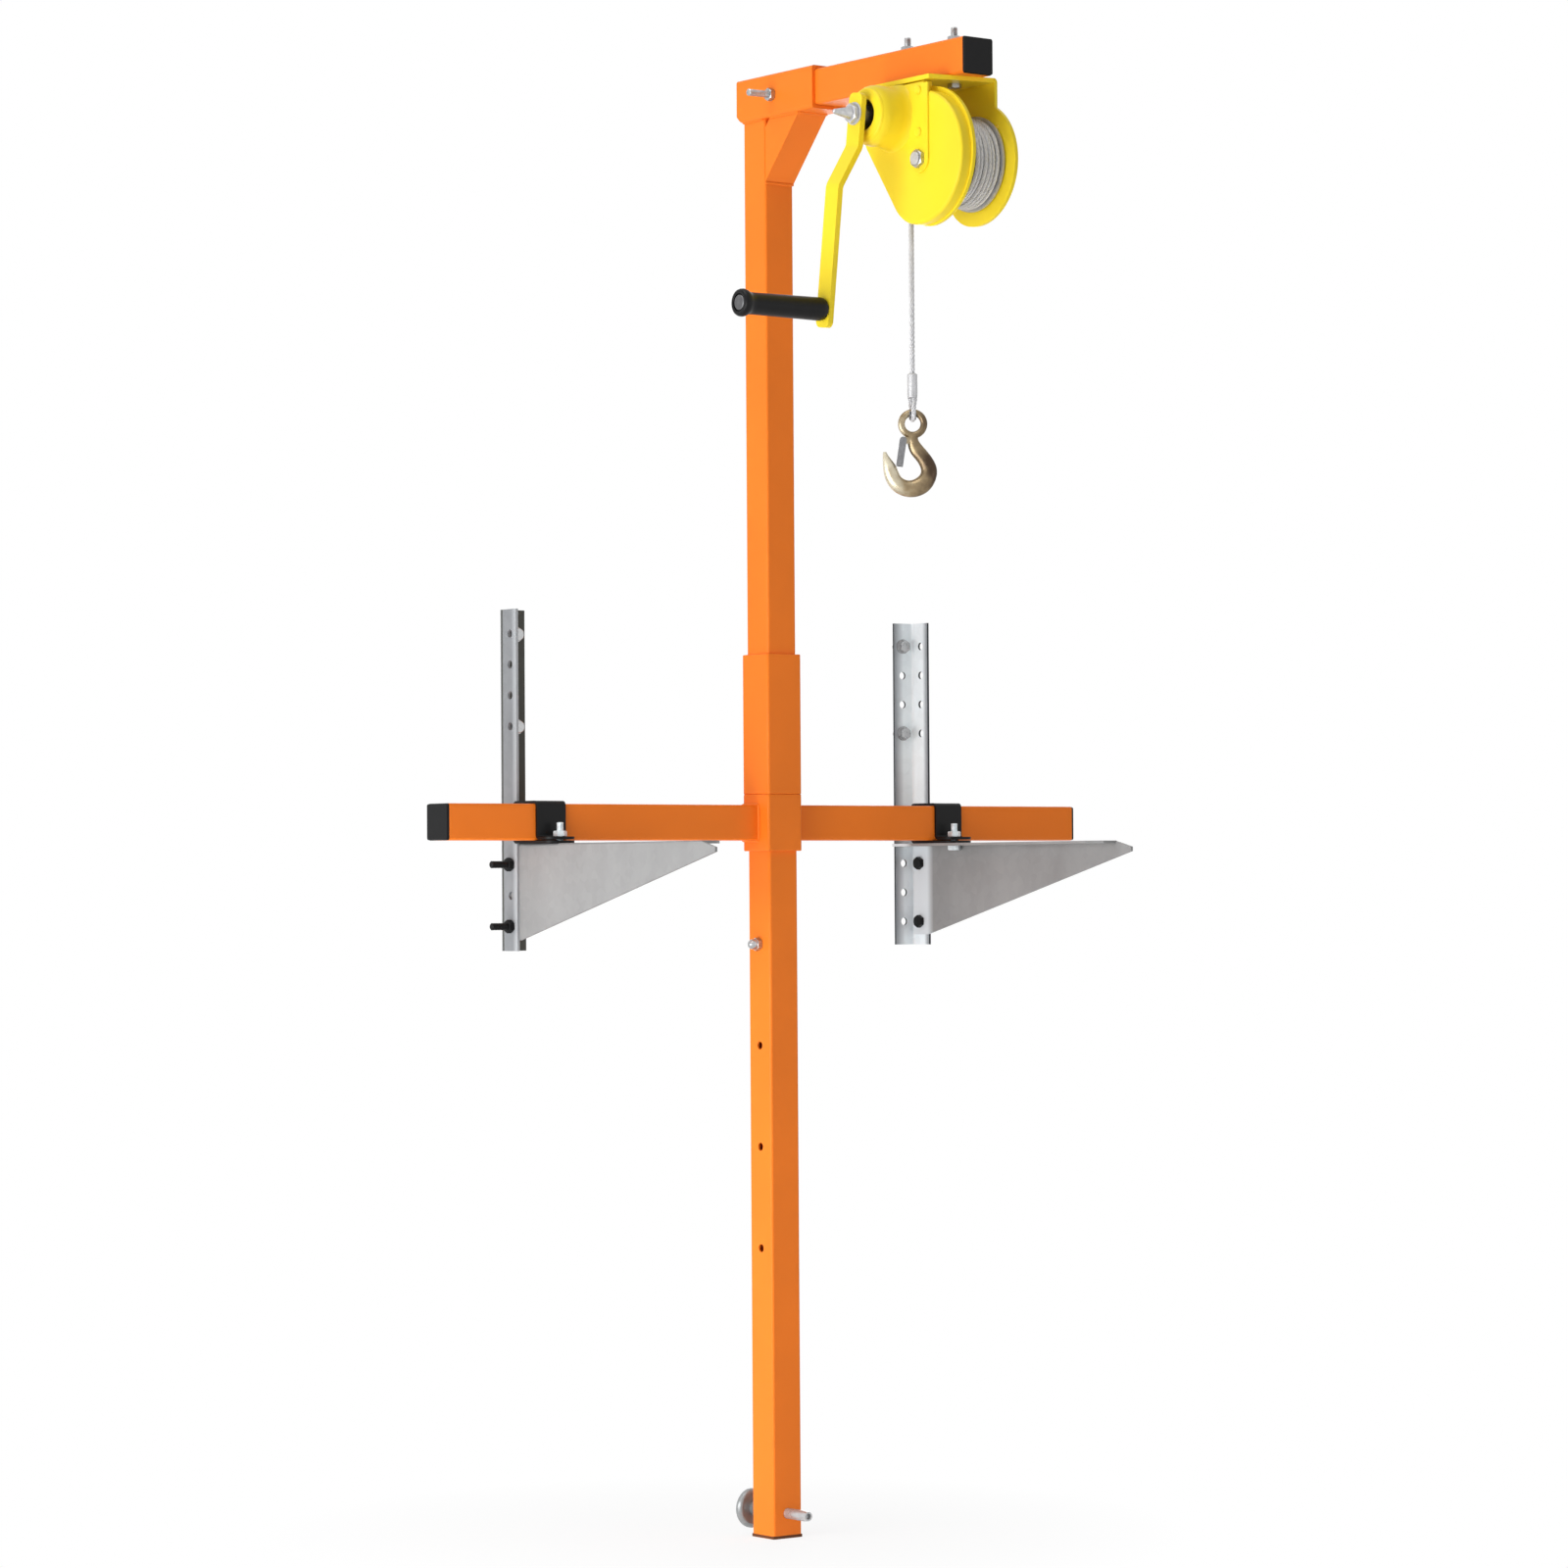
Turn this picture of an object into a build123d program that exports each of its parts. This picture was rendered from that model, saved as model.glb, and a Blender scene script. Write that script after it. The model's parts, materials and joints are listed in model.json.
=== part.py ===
from build123d import *
import math
import os

# Air conditioner hoist, all sizes in millimetres.
# The origin is the middle of the four free wall holes, on the wall plane.
# X runs along the wall, Y points into the wall and Z is up.

# Square tubes
tube = 40.0
tube_wall = 2.5
tube_corner = 3.0
inner_corner = 0.6
slide_gap = 0.3
sleeve_wall = 3.7
sleeve = tube + 2 * (slide_gap + sleeve_wall)

# Mast, measured from the origin
mast_x = 30.0
mast_off = 70.0
mast_y = -mast_off
foot_z = -961.5
head_z = 637.0
arm_z = -157.0
collar_height = 64.0
joint_length = 158.0
collar_z = arm_z - collar_height / 2
joint_z = collar_z + collar_height
splice_z = joint_z + joint_length / 2

# Screws, by nominal thread
m8 = 8.0
m8_flats = 13.0
m8_nut = 6.5
m8_head = 5.3
m8_hole = 9.0
m10 = 10.0
end_chamfer = 0.8

# Cross arms
arm_half = 444.0
arm_set_back = 14.0
arm_y = mast_y + arm_set_back
cap_head = 3.0
cap_plug = 16.0
cap_gap = 0.3
cap_edge = 1.5

# Wall brackets
angle_side = 30.0
angle_thick = 3.0
angle_root = 3.0
upright_half = 292.0
upright_top = 78.0
upright_length = 376.0
hole_gauge = 18.0
hole_pitch = 34.0
lower_row_z = -203.0
wall_bolt_reach = 12.0
washer_d = 17.0
washer_thick = 1.6

# Clamp straps
clamp_thick = 3.0
clamp_gap = 0.3
clamp_width = 38.0
clamp_bend = 4.0
clamp_ear = 26.0
ear_gap = 1.2
clamp_inset = 12.0
clamp_bolt_inset = 14.5
clamp_half = upright_half - clamp_inset
clamp_bolt_half = upright_half - clamp_bolt_inset
clamp_bolt_out = 16.0
clamp_stud = 9.0
ear_round = 12.0

# Bracket plates
plate_thick = 3.0
plate_gap = 0.5
plate_back = angle_thick + angle_root + plate_gap
plate_heel = 106.0
plate_reach = 390.0
nose_drop = 7.0
nose_height = 5.0
nose_slope = 28.0
flange_width = 35.0
flange_stop = 365.0
slot_length = 36.0
foot_slot_y = -245.0
plate_stud = 20.0

# Foot screw and stop bolt
post_hole_pitch = 114.0
stop_z = -294.0
spare_holes = 3
foot_rise = 28.0
foot_screw_z = foot_z + foot_rise
foot_rod_d = 12.0
foot_fit = 0.1
foot_front = 58.0
pad_r = 22.6
pad_thick = 7.0
pad_lip = 1.5
pad_hub_r = 9.0
pad_hub = 6.0
pad_rim = 47.0
pad_socket = 5.0
bush_d = 20.0
dome_length = 15.0

# Head and boom
block_back = 27.0
block_front = 113.0
block_end = 8.0
block_chamfer = 7.0
boom_z = head_z + sleeve / 2
boom_front = 371.0
head_bolt_n = 39.0
head_bolt_stud = 27.0
brace_top_n = 83.0
brace_foot_drop = 72.0
winch_bolt_n = (253.0, 333.0)
winch_bolt_stud = 9.5

# Winch frame, measured from the drum axis: p forward, q up, off towards the crank
drum_n = 331.0
drum_drop = 90.0
drum_y = mast_y - drum_n
drum_z = boom_z - tube / 2 - drum_drop
cheek_thick = 4.0
cheek_outer = 34.0
cheek_inner = cheek_outer - cheek_thick
cheek_r = 67.0
cheek_back = 61.0
near_cheek_r = 75.5
near_cheek_back = 61.5
near_cheek_middle = (-2.0, 4.0)
heel_round = 48.0
base_thick = 5.0
base_bend = 5.0
neck_front = 33.0
near_neck = -4.0
base_back = -96.0
corner_p = -95.0
corner_q = 26.0
corner_round = 20.0
peep_hole = (36.5, 37.0)
peep_hole_r = 2.5

# Gears
module = 2.0
pinion_teeth = 12
gear_teeth = 56
gear_angle = 132.8
pressure = math.radians(20.0)
addendum = 0.85 * module
dedendum = 1.25 * module
backlash = 0.5
axis_gap = module * (pinion_teeth + gear_teeth) / 2
pinion_p = axis_gap * math.cos(math.radians(gear_angle))
pinion_q = axis_gap * math.sin(math.radians(gear_angle))
gear_width = 7.0
gear_side = 2.5
pinion_extra = 1.0

# Gear cover
cover_depth = 13.0
cover_sheet = 2.0
cover_r = 72.0
cover_back = 64.5
cover_middle = (-2.0, 2.0)
cover_edge = 3.0
cover_top_gap = 1.0
cover_corner_p = -97.0
cover_neck = 5.0
boss_r = 30.0
boss_depth = 39.0
boss_edge = 4.0
boss_flare = 4.0
boss_hole_r = 16.5
face_off = cheek_outer + cover_depth
strap_width = 31.0
strap_thick = 2.0
rivet_q = (74.0, 29.0)
rivet_r = 2.4
rivet_head_r = 5.0
rivet_head = 2.4
rivet_round = 1.9
rivet_fit = 0.05

# Drum and rope
axle_r = 7.0
axle_fit = 0.06
axle_head = 6.0
axle_flats = 18.0
axle_nut_thick = 5.0
axle_end = 2.0
bush_wall = 3.0
bush_length = 14.0
drum_side = 1.5
drum_flange = 2.5
drum_flange_r = 51.5
drum_core_r = 25.0
stub_r = 15.0
stub_gap = 2.0
rope_d = 5.0
rope_radius = 47.0
rope_sides = 8
rope_turns = 8
rope_off = 22.0
rope_pitch = 2 * rope_off / rope_turns
core_gap = 0.2

# Crank shaft and brake
shaft_r = 7.0
shaft_fit = 0.06
shaft_collar_r = 11.0
shaft_collar = 4.0
bush_r = 9.0
bush_flange_r = 11.0
bush_flange = 1.5
hub_start = 1.5
hub_off = face_off + hub_start
hub_flange_r = 18.0
hub_flange = 4.0
hub_r = 11.0
lining_r = 15.5
lining = 3.0
ratchet_teeth = 12
ratchet_r = 19.0
ratchet_root_r = 16.2
ratchet_width = 6.0
bore_fit = 0.1
press_flange_r = 18.0
press_flange = 4.0
crank_hub_r = 10.5
lining_off = hub_off + hub_flange
ratchet_off = lining_off + lining
second_off = ratchet_off + ratchet_width
press_off = second_off + lining

# Pawl
pawl_radius = 23.3
pawl_pin_r = 2.0
pawl_boss_r = 3.4
pawl_fit = 0.1
pawl_gap = 0.35
pawl_width = 5.0
pawl_tip_turn = 38.0
pawl_tip_height = 3.2
pawl_pin_end = 2.0
spring_wire = 0.8
spring_r = 3.0
spring_turns = 3
spring_pitch = 1.4

# Crank
crank_lean = math.radians(7.5)
crank_width = 22.0
crank_thick = 6.5
crank_off = 93.5
crank_radius = 211.5
crank_end = 19.5
crank_top = 22.5
crank_corner = 7.0
joggle = 23.0
joggle_start = 35.0
joggle_end = 79.0
crank_bend = 14.0
crank_nut = 8.0
crank_collar = 5.5
crank_collar_r = 8.5
crank_flats = 21.0
shaft_end = 115.5

# Grip
grip_gap = 0.3
grip_length = 113.5
grip_r = 11.5
grip_butt_r = 15.0
grip_neck_r = 13.0
grip_nose_r = 9.0
grip_nose = 6.0
grip_bore_fit = 0.08
grip_edge = 3.0
grip_swell = 20.0
grip_round = 1.2
grip_head = 3.0
grip_head_r = 8.5
grip_recess = 3.5
recess_gap = 1.0
peen = 2.5
peen_r = 6.5

# Rope end
ferrule_r = 5.5
ferrule_length = 26.5
ferrule_edge = 1.5
ring_z = 271.0
ring_r = 16.0
ring_hole_r = 8.4
ring_tube = (ring_r - ring_hole_r) / 2
ring_mid = (ring_r + ring_hole_r) / 2
loop_gap = 0.45
thimble_sheet = 1.1
thimble_fit = 0.1
thimble_arc = 200.0
loop_r = ring_tube + loop_gap + thimble_sheet + thimble_fit + rope_d / 2
leg_gap = 0.3
leg_n = rope_d / 2 + leg_gap
leg_bend = 6.0

# Hook and latch, in the plane of the hook around the ring centre: u right, w up
hook_turn = -37.4
latch_u = -10.5
latch_w = -18.0
latch_lug_r = 3.6
latch_lug = 4.0
latch_pin_r = 2.0
latch_fit = 0.06
latch_sheet = 1.2
latch_inside = 5.4
latch_depth = 7.5
latch_reach = 28.0
latch_lean = 8.5
latch_web_start = 4.6

os.makedirs("parts", exist_ok=True)


def square_tube(plane, side, wall, length):
    """Square tube standing on a plane."""
    with BuildSketch(plane) as ring:
        RectangleRounded(side, side, tube_corner)
        RectangleRounded(side - 2 * wall, side - 2 * wall, inner_corner, mode=Mode.SUBTRACT)
    extrude(ring.sketch, amount=length)


def disc(plane, radius, thick, bore=0.0):
    """Round disc standing on a plane, with a bore if one is given."""
    with BuildSketch(plane) as face:
        Circle(radius)
        if bore > 0:
            Circle(bore, mode=Mode.SUBTRACT)
    extrude(face.sketch, amount=thick)


def hexagon(plane, flats, thick, bore=0.0):
    """Hexagon standing on a plane, measured across the flats."""
    with BuildSketch(plane) as face:
        RegularPolygon(flats / 2, 6, major_radius=False)
        if bore > 0:
            Circle(bore, mode=Mode.SUBTRACT)
    extrude(face.sketch, amount=thick)


def drill(plane, radius, depth):
    """Round hole from a plane into the piece."""
    with BuildSketch(plane) as face:
        Circle(radius)
    extrude(face.sketch, amount=depth, mode=Mode.SUBTRACT)


def along(x, y, z, direction):
    """Plane at a point, facing along a direction."""
    sideways = (0, 0, 1) if direction[2] == 0 else (1, 0, 0)
    return Plane((x, y, z), x_dir=sideways, z_dir=direction)


def bolt_and_nut(x, y, z, direction, size, flats, head, grip, nut, stud):
    """Hexagon bolt whose head rests on a plane, with the nut at the end of its grip."""
    start = along(x, y, z, direction)
    hexagon(start.offset(-head), flats, head)
    disc(start, size / 2, grip + nut + stud)
    hexagon(start.offset(grip), flats, nut)


def cross_plane(off, p, q):
    """Plane across the winch at a place measured from the drum axis, facing the crank."""
    return Plane((mast_x - off, drum_y - p, drum_z + q), x_dir=(0, -1, 0), z_dir=(-1, 0, 0))


def winch_plane(off):
    """Plane across the drum axis."""
    return cross_plane(off, 0, 0)


def shaft_plane(off):
    """Plane across the crank shaft."""
    return cross_plane(off, pinion_p, pinion_q)


def cheek_face(off, middle, radius, back, front, corner, top):
    """Outline of a winch cheek: a disc on a neck, with a straight edge at the back of the disc."""
    mid_p, mid_q = middle
    rise, run = corner_q - mid_q, corner - mid_p
    slope = math.atan2(rise, run) + math.acos(back / math.hypot(run, rise))
    reach = math.sqrt(radius**2 - back**2)
    heel = (
        mid_p + back * math.cos(slope) - reach * math.sin(slope),
        mid_q + back * math.sin(slope) + reach * math.cos(slope),
    )
    start = (front, mid_q + math.sqrt(radius**2 - (front - mid_p)**2))
    with BuildSketch(winch_plane(off)) as outline:
        with BuildLine():
            ThreePointArc(start, (mid_p + radius, mid_q), heel)
            FilletPolyline(heel, (corner, corner_q), (base_back, top), radius=corner_round)
            Polyline((base_back, top), (front, top), start)
        make_face()
        fillet(outline.vertices().sort_by_distance((*heel, 0))[0], heel_round)
    return outline.sketch


def gear_points(teeth, first_turn):
    """Corners of a spur gear with involute flanks."""
    pitch_r = module * teeth / 2
    base_r = pitch_r * math.cos(pressure)
    half_tooth = (math.pi * module / 2 - backlash) / (2 * pitch_r)
    half_tooth += math.tan(pressure) - pressure
    flank = []
    for radius in (pitch_r - dedendum, max(base_r, pitch_r - module), pitch_r, pitch_r + addendum):
        roll = math.acos(min(1.0, base_r / radius))
        flank.append((radius, half_tooth - (math.tan(roll) - roll)))
    points = []
    for tooth in range(teeth):
        middle = first_turn + 2 * math.pi * tooth / teeth
        for radius, half in flank:
            points.append((radius, middle - half))
        for radius, half in reversed(flank):
            points.append((radius, middle + half))
    return [(r * math.cos(turn), r * math.sin(turn)) for r, turn in points]


def ratchet_points():
    """Corners of the saw-toothed brake wheel."""
    points = []
    for tooth in range(ratchet_teeth):
        turn = 2 * math.pi * tooth / ratchet_teeth
        points.append((ratchet_root_r * math.cos(turn), ratchet_root_r * math.sin(turn)))
        points.append((ratchet_r * math.cos(turn), ratchet_r * math.sin(turn)))
    return points


def heading(place, turn, step):
    """Direction of travel along a winding."""
    small = step * 1e-4
    return (place(turn + small) - place(turn - small)).normalized()


def coil(stations):
    """Line of smoothly joined arcs through places, each given with its heading."""
    for (here, away), (ahead, arrive) in zip(stations, stations[1:]):
        chord = ahead - here
        slope = chord.dot(away + arrive)
        bend = 2 * (1 - away.dot(arrive))
        reach = (math.sqrt(slope**2 + bend * chord.dot(chord)) - slope) / bend
        near = here + away * reach
        far = ahead - arrive * reach
        middle = (near + far) * 0.5
        TangentArc(here, middle, tangent=away)
        TangentArc(middle, ahead, tangent=far - near)


def least_gap(place, turns, wire):
    """Least free gap between neighbouring loops, on points along the line."""
    samples = [place(2 * math.pi * turns * i / (60 * turns)) for i in range(60 * turns + 1)]
    gap = min((samples[i] - samples[i + 60]).length for i in range(len(samples) - 60))
    return gap - wire


# Wall brackets
upright_z = upright_top - upright_length
wall_rows = [hole_pitch * row for row in (1.5, 0.5, -0.5, -1.5)]
low_rows = [lower_row_z - hole_pitch * row for row in (0, 1, 2)]
plate_top = arm_z - tube / 2 - clamp_gap - clamp_thick
plate_x = upright_half - angle_thick
clamp_bolt_y = arm_y - tube / 2 - clamp_bolt_out


def upright(side):
    """Angle bar with its wall flange turned inwards."""
    heel = side * upright_half
    toe = side * (upright_half - angle_side)
    web = side * (upright_half - angle_thick)
    with BuildSketch(Plane((0, 0, upright_z))) as section:
        with BuildLine():
            Polyline(
                (heel, 0), (toe, 0), (toe, -angle_thick), (web, -angle_thick),
                (web, -angle_side), (heel, -angle_side), close=True,
            )
        make_face()
        root = section.vertices().sort_by_distance((web, -angle_thick, 0))[0]
        fillet(root, angle_root)
    extrude(section.sketch, amount=upright_length)
    for row in wall_rows + low_rows:
        wall_hole = side * (upright_half - hole_gauge)
        drill(along(wall_hole, 0, row, (0, -1, 0)), m8_hole / 2, angle_thick)
        drill(along(heel, -hole_gauge, row, (-side, 0, 0)), m8_hole / 2, angle_thick)


def bracket_arm(side):
    """Triangular plate with a flange folded inwards along its top."""
    nose = plate_top - nose_drop
    with BuildSketch(Plane.YZ.offset(side * plate_x)) as face:
        with BuildLine():
            Polyline(
                (-plate_back, plate_top),
                (-plate_back, plate_top - plate_heel),
                (-angle_side, plate_top - plate_heel),
                (-plate_reach, nose - nose_height),
                (-plate_reach, nose),
                (-plate_reach + nose_slope, plate_top),
                close=True,
            )
        make_face()
    extrude(face.sketch, amount=-side * plate_thick)
    flange_x = side * (plate_x - flange_width / 2)
    flange_y = -(plate_back + flange_stop) / 2
    with BuildSketch(Plane((flange_x, flange_y, plate_top))) as flange:
        Rectangle(flange_width, flange_stop - plate_back)
        outer = flange.vertices().group_by(Axis.Y)[0].sort_by(Axis.X)
        chamfer(outer[0] if side > 0 else outer[-1], nose_slope / 2)
    extrude(flange.sketch, amount=-plate_thick)
    fold = edges().filter_by(Axis.Y).sort_by_distance((side * plate_x, flange_y, plate_top))[0]
    fillet(fold, plate_thick)
    for slot_y in (clamp_bolt_y, foot_slot_y):
        with BuildSketch(Plane((side * clamp_bolt_half, slot_y, plate_top))) as slot:
            SlotOverall(slot_length, m8_hole, rotation=90)
        extrude(slot.sketch, amount=-plate_thick, mode=Mode.SUBTRACT)
    for row in (low_rows[0], low_rows[2]):
        drill(along(side * plate_x, -hole_gauge, row, (-side, 0, 0)), m8_hole / 2, plate_thick)


def clamp(side):
    """Strap bent from one strip around the arm, open at its front ear."""
    reach = tube / 2 + clamp_gap + clamp_thick / 2
    ear_z = arm_z - reach + clamp_thick + ear_gap
    ear_y = arm_y - reach - clamp_ear
    with BuildSketch(Plane.YZ.offset(side * clamp_half)) as strip:
        with BuildLine() as middle:
            FilletPolyline(
                (ear_y, arm_z - reach),
                (arm_y + reach, arm_z - reach),
                (arm_y + reach, arm_z + reach),
                (arm_y - reach, arm_z + reach),
                (arm_y - reach, ear_z),
                (ear_y, ear_z),
                radius=clamp_bend,
            )
        trace(line_width=clamp_thick)
    extrude(strip.sketch, amount=clamp_width / 2, both=True)
    fillet(edges().filter_by(Axis.Z).group_by(Axis.Y)[0], ear_round)
    hole = along(side * clamp_bolt_half, clamp_bolt_y, plate_top, (0, 0, 1))
    drill(hole, m8_hole / 2, reach)


with BuildPart() as left_upright:
    upright(-1)
left_upright.part.label = "left_upright"
export_step(left_upright.part, "parts/left_upright.step")

with BuildPart() as right_upright:
    upright(1)
right_upright.part.label = "right_upright"
export_step(right_upright.part, "parts/right_upright.step")

with BuildPart() as left_bracket_arm:
    bracket_arm(-1)
left_bracket_arm.part.label = "left_bracket_arm"
export_step(left_bracket_arm.part, "parts/left_bracket_arm.step")

with BuildPart() as right_bracket_arm:
    bracket_arm(1)
right_bracket_arm.part.label = "right_bracket_arm"
export_step(right_bracket_arm.part, "parts/right_bracket_arm.step")

with BuildPart() as bracket_bolts:
    for side in (-1, 1):
        for row in (low_rows[0], low_rows[2]):
            head_x = side * (plate_x - plate_thick)
            grip_span = plate_thick + angle_thick
            bolt_and_nut(
                head_x, -hole_gauge, row, (side, 0, 0), m8, m8_flats, m8_head, grip_span, m8_nut, plate_stud
            )
bracket_bolts.part.label = "bracket_bolts"
export_step(bracket_bolts.part, "parts/bracket_bolts.step")

with BuildPart() as wall_bolts:
    for side in (-1, 1):
        for row in (wall_rows[0], wall_rows[3]):
            seat = along(side * (upright_half - hole_gauge), -angle_thick - washer_thick, row, (0, 1, 0))
            hexagon(seat.offset(-m8_head), m8_flats, m8_head)
            disc(seat, m8 / 2, washer_thick + angle_thick + wall_bolt_reach)
wall_bolts.part.label = "wall_bolts"
export_step(wall_bolts.part, "parts/wall_bolts.step")

with BuildPart() as wall_washers:
    for side in (-1, 1):
        for row in (wall_rows[0], wall_rows[3]):
            seat = along(side * (upright_half - hole_gauge), -angle_thick, row, (0, -1, 0))
            disc(seat, washer_d / 2, washer_thick, m8_hole / 2)
wall_washers.part.label = "wall_washers"
export_step(wall_washers.part, "parts/wall_washers.step")

with BuildPart() as left_clamp:
    clamp(-1)
left_clamp.part.label = "left_clamp"
export_step(left_clamp.part, "parts/left_clamp.step")

with BuildPart() as right_clamp:
    clamp(1)
right_clamp.part.label = "right_clamp"
export_step(right_clamp.part, "parts/right_clamp.step")

with BuildPart() as clamp_bolts:
    for side in (-1, 1):
        clamp_grip = plate_thick + 2 * clamp_thick + ear_gap
        head_z_clamp = plate_top - plate_thick
        bolt_and_nut(
            side * clamp_bolt_half, clamp_bolt_y, head_z_clamp, (0, 0, 1),
            m8, m8_flats, m8_head, clamp_grip, m8_nut, clamp_stud,
        )
clamp_bolts.part.label = "clamp_bolts"
export_step(clamp_bolts.part, "parts/clamp_bolts.step")

# Cross arms


def end_cap(plane):
    """Plug with a flat head for the end of a square tube, the head facing out."""
    plug = tube - 2 * tube_wall - 2 * cap_gap
    with BuildSketch(plane) as head:
        RectangleRounded(tube, tube, tube_corner)
    extrude(head.sketch, amount=cap_head, taper=math.degrees(math.atan(cap_edge / cap_head)) / 2)
    with BuildSketch(plane) as inner:
        RectangleRounded(plug, plug, inner_corner)
    extrude(inner.sketch, amount=-cap_plug)


with BuildPart() as collar:
    square_tube(Plane((mast_x, mast_y, collar_z)), sleeve, sleeve_wall, collar_height)
collar.part.label = "collar"
export_step(collar.part, "parts/collar.step")

with BuildPart() as left_arm:
    start = along(mast_x - sleeve / 2, arm_y, arm_z, (-1, 0, 0))
    square_tube(start, tube, tube_wall, arm_half - sleeve / 2 - cap_head)
left_arm.part.label = "left_arm"
export_step(left_arm.part, "parts/left_arm.step")

with BuildPart() as right_arm:
    start = along(mast_x + sleeve / 2, arm_y, arm_z, (1, 0, 0))
    square_tube(start, tube, tube_wall, arm_half - sleeve / 2 - cap_head)
right_arm.part.label = "right_arm"
export_step(right_arm.part, "parts/right_arm.step")

with BuildPart() as arm_end_caps:
    for side in (-1, 1):
        end_cap(along(mast_x + side * (arm_half - cap_head), arm_y, arm_z, (side, 0, 0)))
arm_end_caps.part.label = "arm_end_caps"
export_step(arm_end_caps.part, "parts/arm_end_caps.step")

# Lower mast
with BuildPart() as lower_post:
    square_tube(Plane((mast_x, mast_y, foot_z)), tube, tube_wall, splice_z - foot_z)
    for step in range(spare_holes + 1):
        hole_z = stop_z - post_hole_pitch * step
        drill(along(mast_x - tube / 2, mast_y, hole_z, (1, 0, 0)), m8_hole / 2, tube)
    drill(along(mast_x, mast_y - tube / 2, foot_screw_z, (0, 1, 0)), foot_rod_d / 2 + foot_fit, tube)
lower_post.part.label = "lower_post"
export_step(lower_post.part, "parts/lower_post.step")

with BuildPart() as joint_sleeve:
    square_tube(Plane((mast_x, mast_y, joint_z)), sleeve, sleeve_wall, joint_length)
joint_sleeve.part.label = "joint_sleeve"
export_step(joint_sleeve.part, "parts/joint_sleeve.step")

with BuildPart() as stop_bolt:
    start = along(mast_x + tube / 2, mast_y, stop_z, (-1, 0, 0))
    hexagon(start.offset(-m8_head), m8_flats, m8_head)
    disc(start, m8 / 2, tube + m8_nut)
    hexagon(start.offset(tube), m8_flats, m8_nut)
    disc(start.offset(tube + m8_nut), m8_flats / 2 - end_chamfer, dome_length - m8_nut)
    fillet(edges().filter_by(GeomType.CIRCLE).group_by(Axis.X)[0], m8_flats / 4)
stop_bolt.part.label = "stop_bolt"
export_step(stop_bolt.part, "parts/stop_bolt.step")

with BuildPart() as foot_bush:
    start = along(mast_x, mast_y - tube / 2 + tube_wall, foot_screw_z, (0, 1, 0))
    disc(start, bush_d / 2, tube - 2 * tube_wall, foot_rod_d / 2 + foot_fit)
foot_bush.part.label = "foot_bush"
export_step(foot_bush.part, "parts/foot_bush.step")

# Foot
pad_back = pad_rim - pad_thick - pad_hub
with BuildPart() as foot_rod:
    start = along(mast_x, mast_y - foot_front, foot_screw_z, (0, 1, 0))
    disc(start, foot_rod_d / 2, foot_front + pad_back + pad_socket)
    chamfer(edges().filter_by(GeomType.CIRCLE).group_by(Axis.Y)[0], 2 * end_chamfer)
foot_rod.part.label = "foot_rod"
export_step(foot_rod.part, "parts/foot_rod.step")

with BuildPart() as foot_pad:
    start = along(mast_x, mast_y + pad_back, foot_screw_z, (0, 1, 0))
    disc(start, pad_hub_r, pad_hub)
    disc(start.offset(pad_hub), pad_r, pad_thick)
    rim = edges().filter_by(GeomType.CIRCLE).filter_by(lambda edge: edge.radius > pad_hub_r * 1.1)
    fillet(rim.group_by(Axis.Y)[0], pad_thick - pad_lip)
    drill(start, foot_rod_d / 2, pad_socket)
foot_pad.part.label = "foot_pad"
export_step(foot_pad.part, "parts/foot_pad.step")

# Upper mast
with BuildPart() as upper_post:
    square_tube(Plane((mast_x, mast_y, splice_z)), tube, tube_wall, head_z - splice_z)
upper_post.part.label = "upper_post"
export_step(upper_post.part, "parts/upper_post.step")

with BuildPart() as head_block:
    start = along(mast_x, mast_y + block_back, boom_z, (0, -1, 0))
    with BuildSketch(start):
        RectangleRounded(sleeve, sleeve, tube_corner)
    extrude(amount=block_back + block_front)
    block_y = mast_y + block_back
    with BuildSketch(Plane.YZ.offset(mast_x)):
        Polygon(
            (block_y, head_z),
            (block_y - block_chamfer, head_z),
            (block_y, head_z + block_chamfer),
            align=None,
        )
    extrude(amount=sleeve / 2, both=True, mode=Mode.SUBTRACT)
    cavity = sleeve - 2 * sleeve_wall
    with BuildSketch(start.offset(block_end)):
        RectangleRounded(cavity, cavity, tube_corner - slide_gap)
    extrude(amount=block_back + block_front, mode=Mode.SUBTRACT)
    drill(along(mast_x - sleeve / 2, mast_y - head_bolt_n, boom_z, (1, 0, 0)), m8_hole / 2, sleeve)
head_block.part.label = "head_block"
export_step(head_block.part, "parts/head_block.step")

brace_rise = brace_foot_drop / (brace_top_n - tube / 2)
brace_angle = math.atan(brace_rise)


def brace_face(inset, grow):
    """Side outline of the brace, as a strip between two slanting lines."""
    front = brace_top_n - inset / math.sin(brace_angle)
    back = brace_top_n - (tube - inset) / math.sin(brace_angle)
    near = tube / 2 - grow
    high = head_z + grow
    return (
        (mast_y - front - grow / brace_rise, high),
        (mast_y - back - grow / brace_rise, high),
        (mast_y - near, head_z - (back - near) * brace_rise),
        (mast_y - near, head_z - (front - near) * brace_rise),
    )


with BuildPart() as brace:
    with BuildSketch(Plane.YZ.offset(mast_x)):
        Polygon(*brace_face(0.0, 0.0), align=None)
    extrude(amount=tube / 2, both=True)
    with BuildSketch(Plane.YZ.offset(mast_x)):
        Polygon(*brace_face(tube_wall, tube_wall), align=None)
    extrude(amount=tube / 2 - tube_wall, both=True, mode=Mode.SUBTRACT)
brace.part.label = "brace"
export_step(brace.part, "parts/brace.step")

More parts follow.
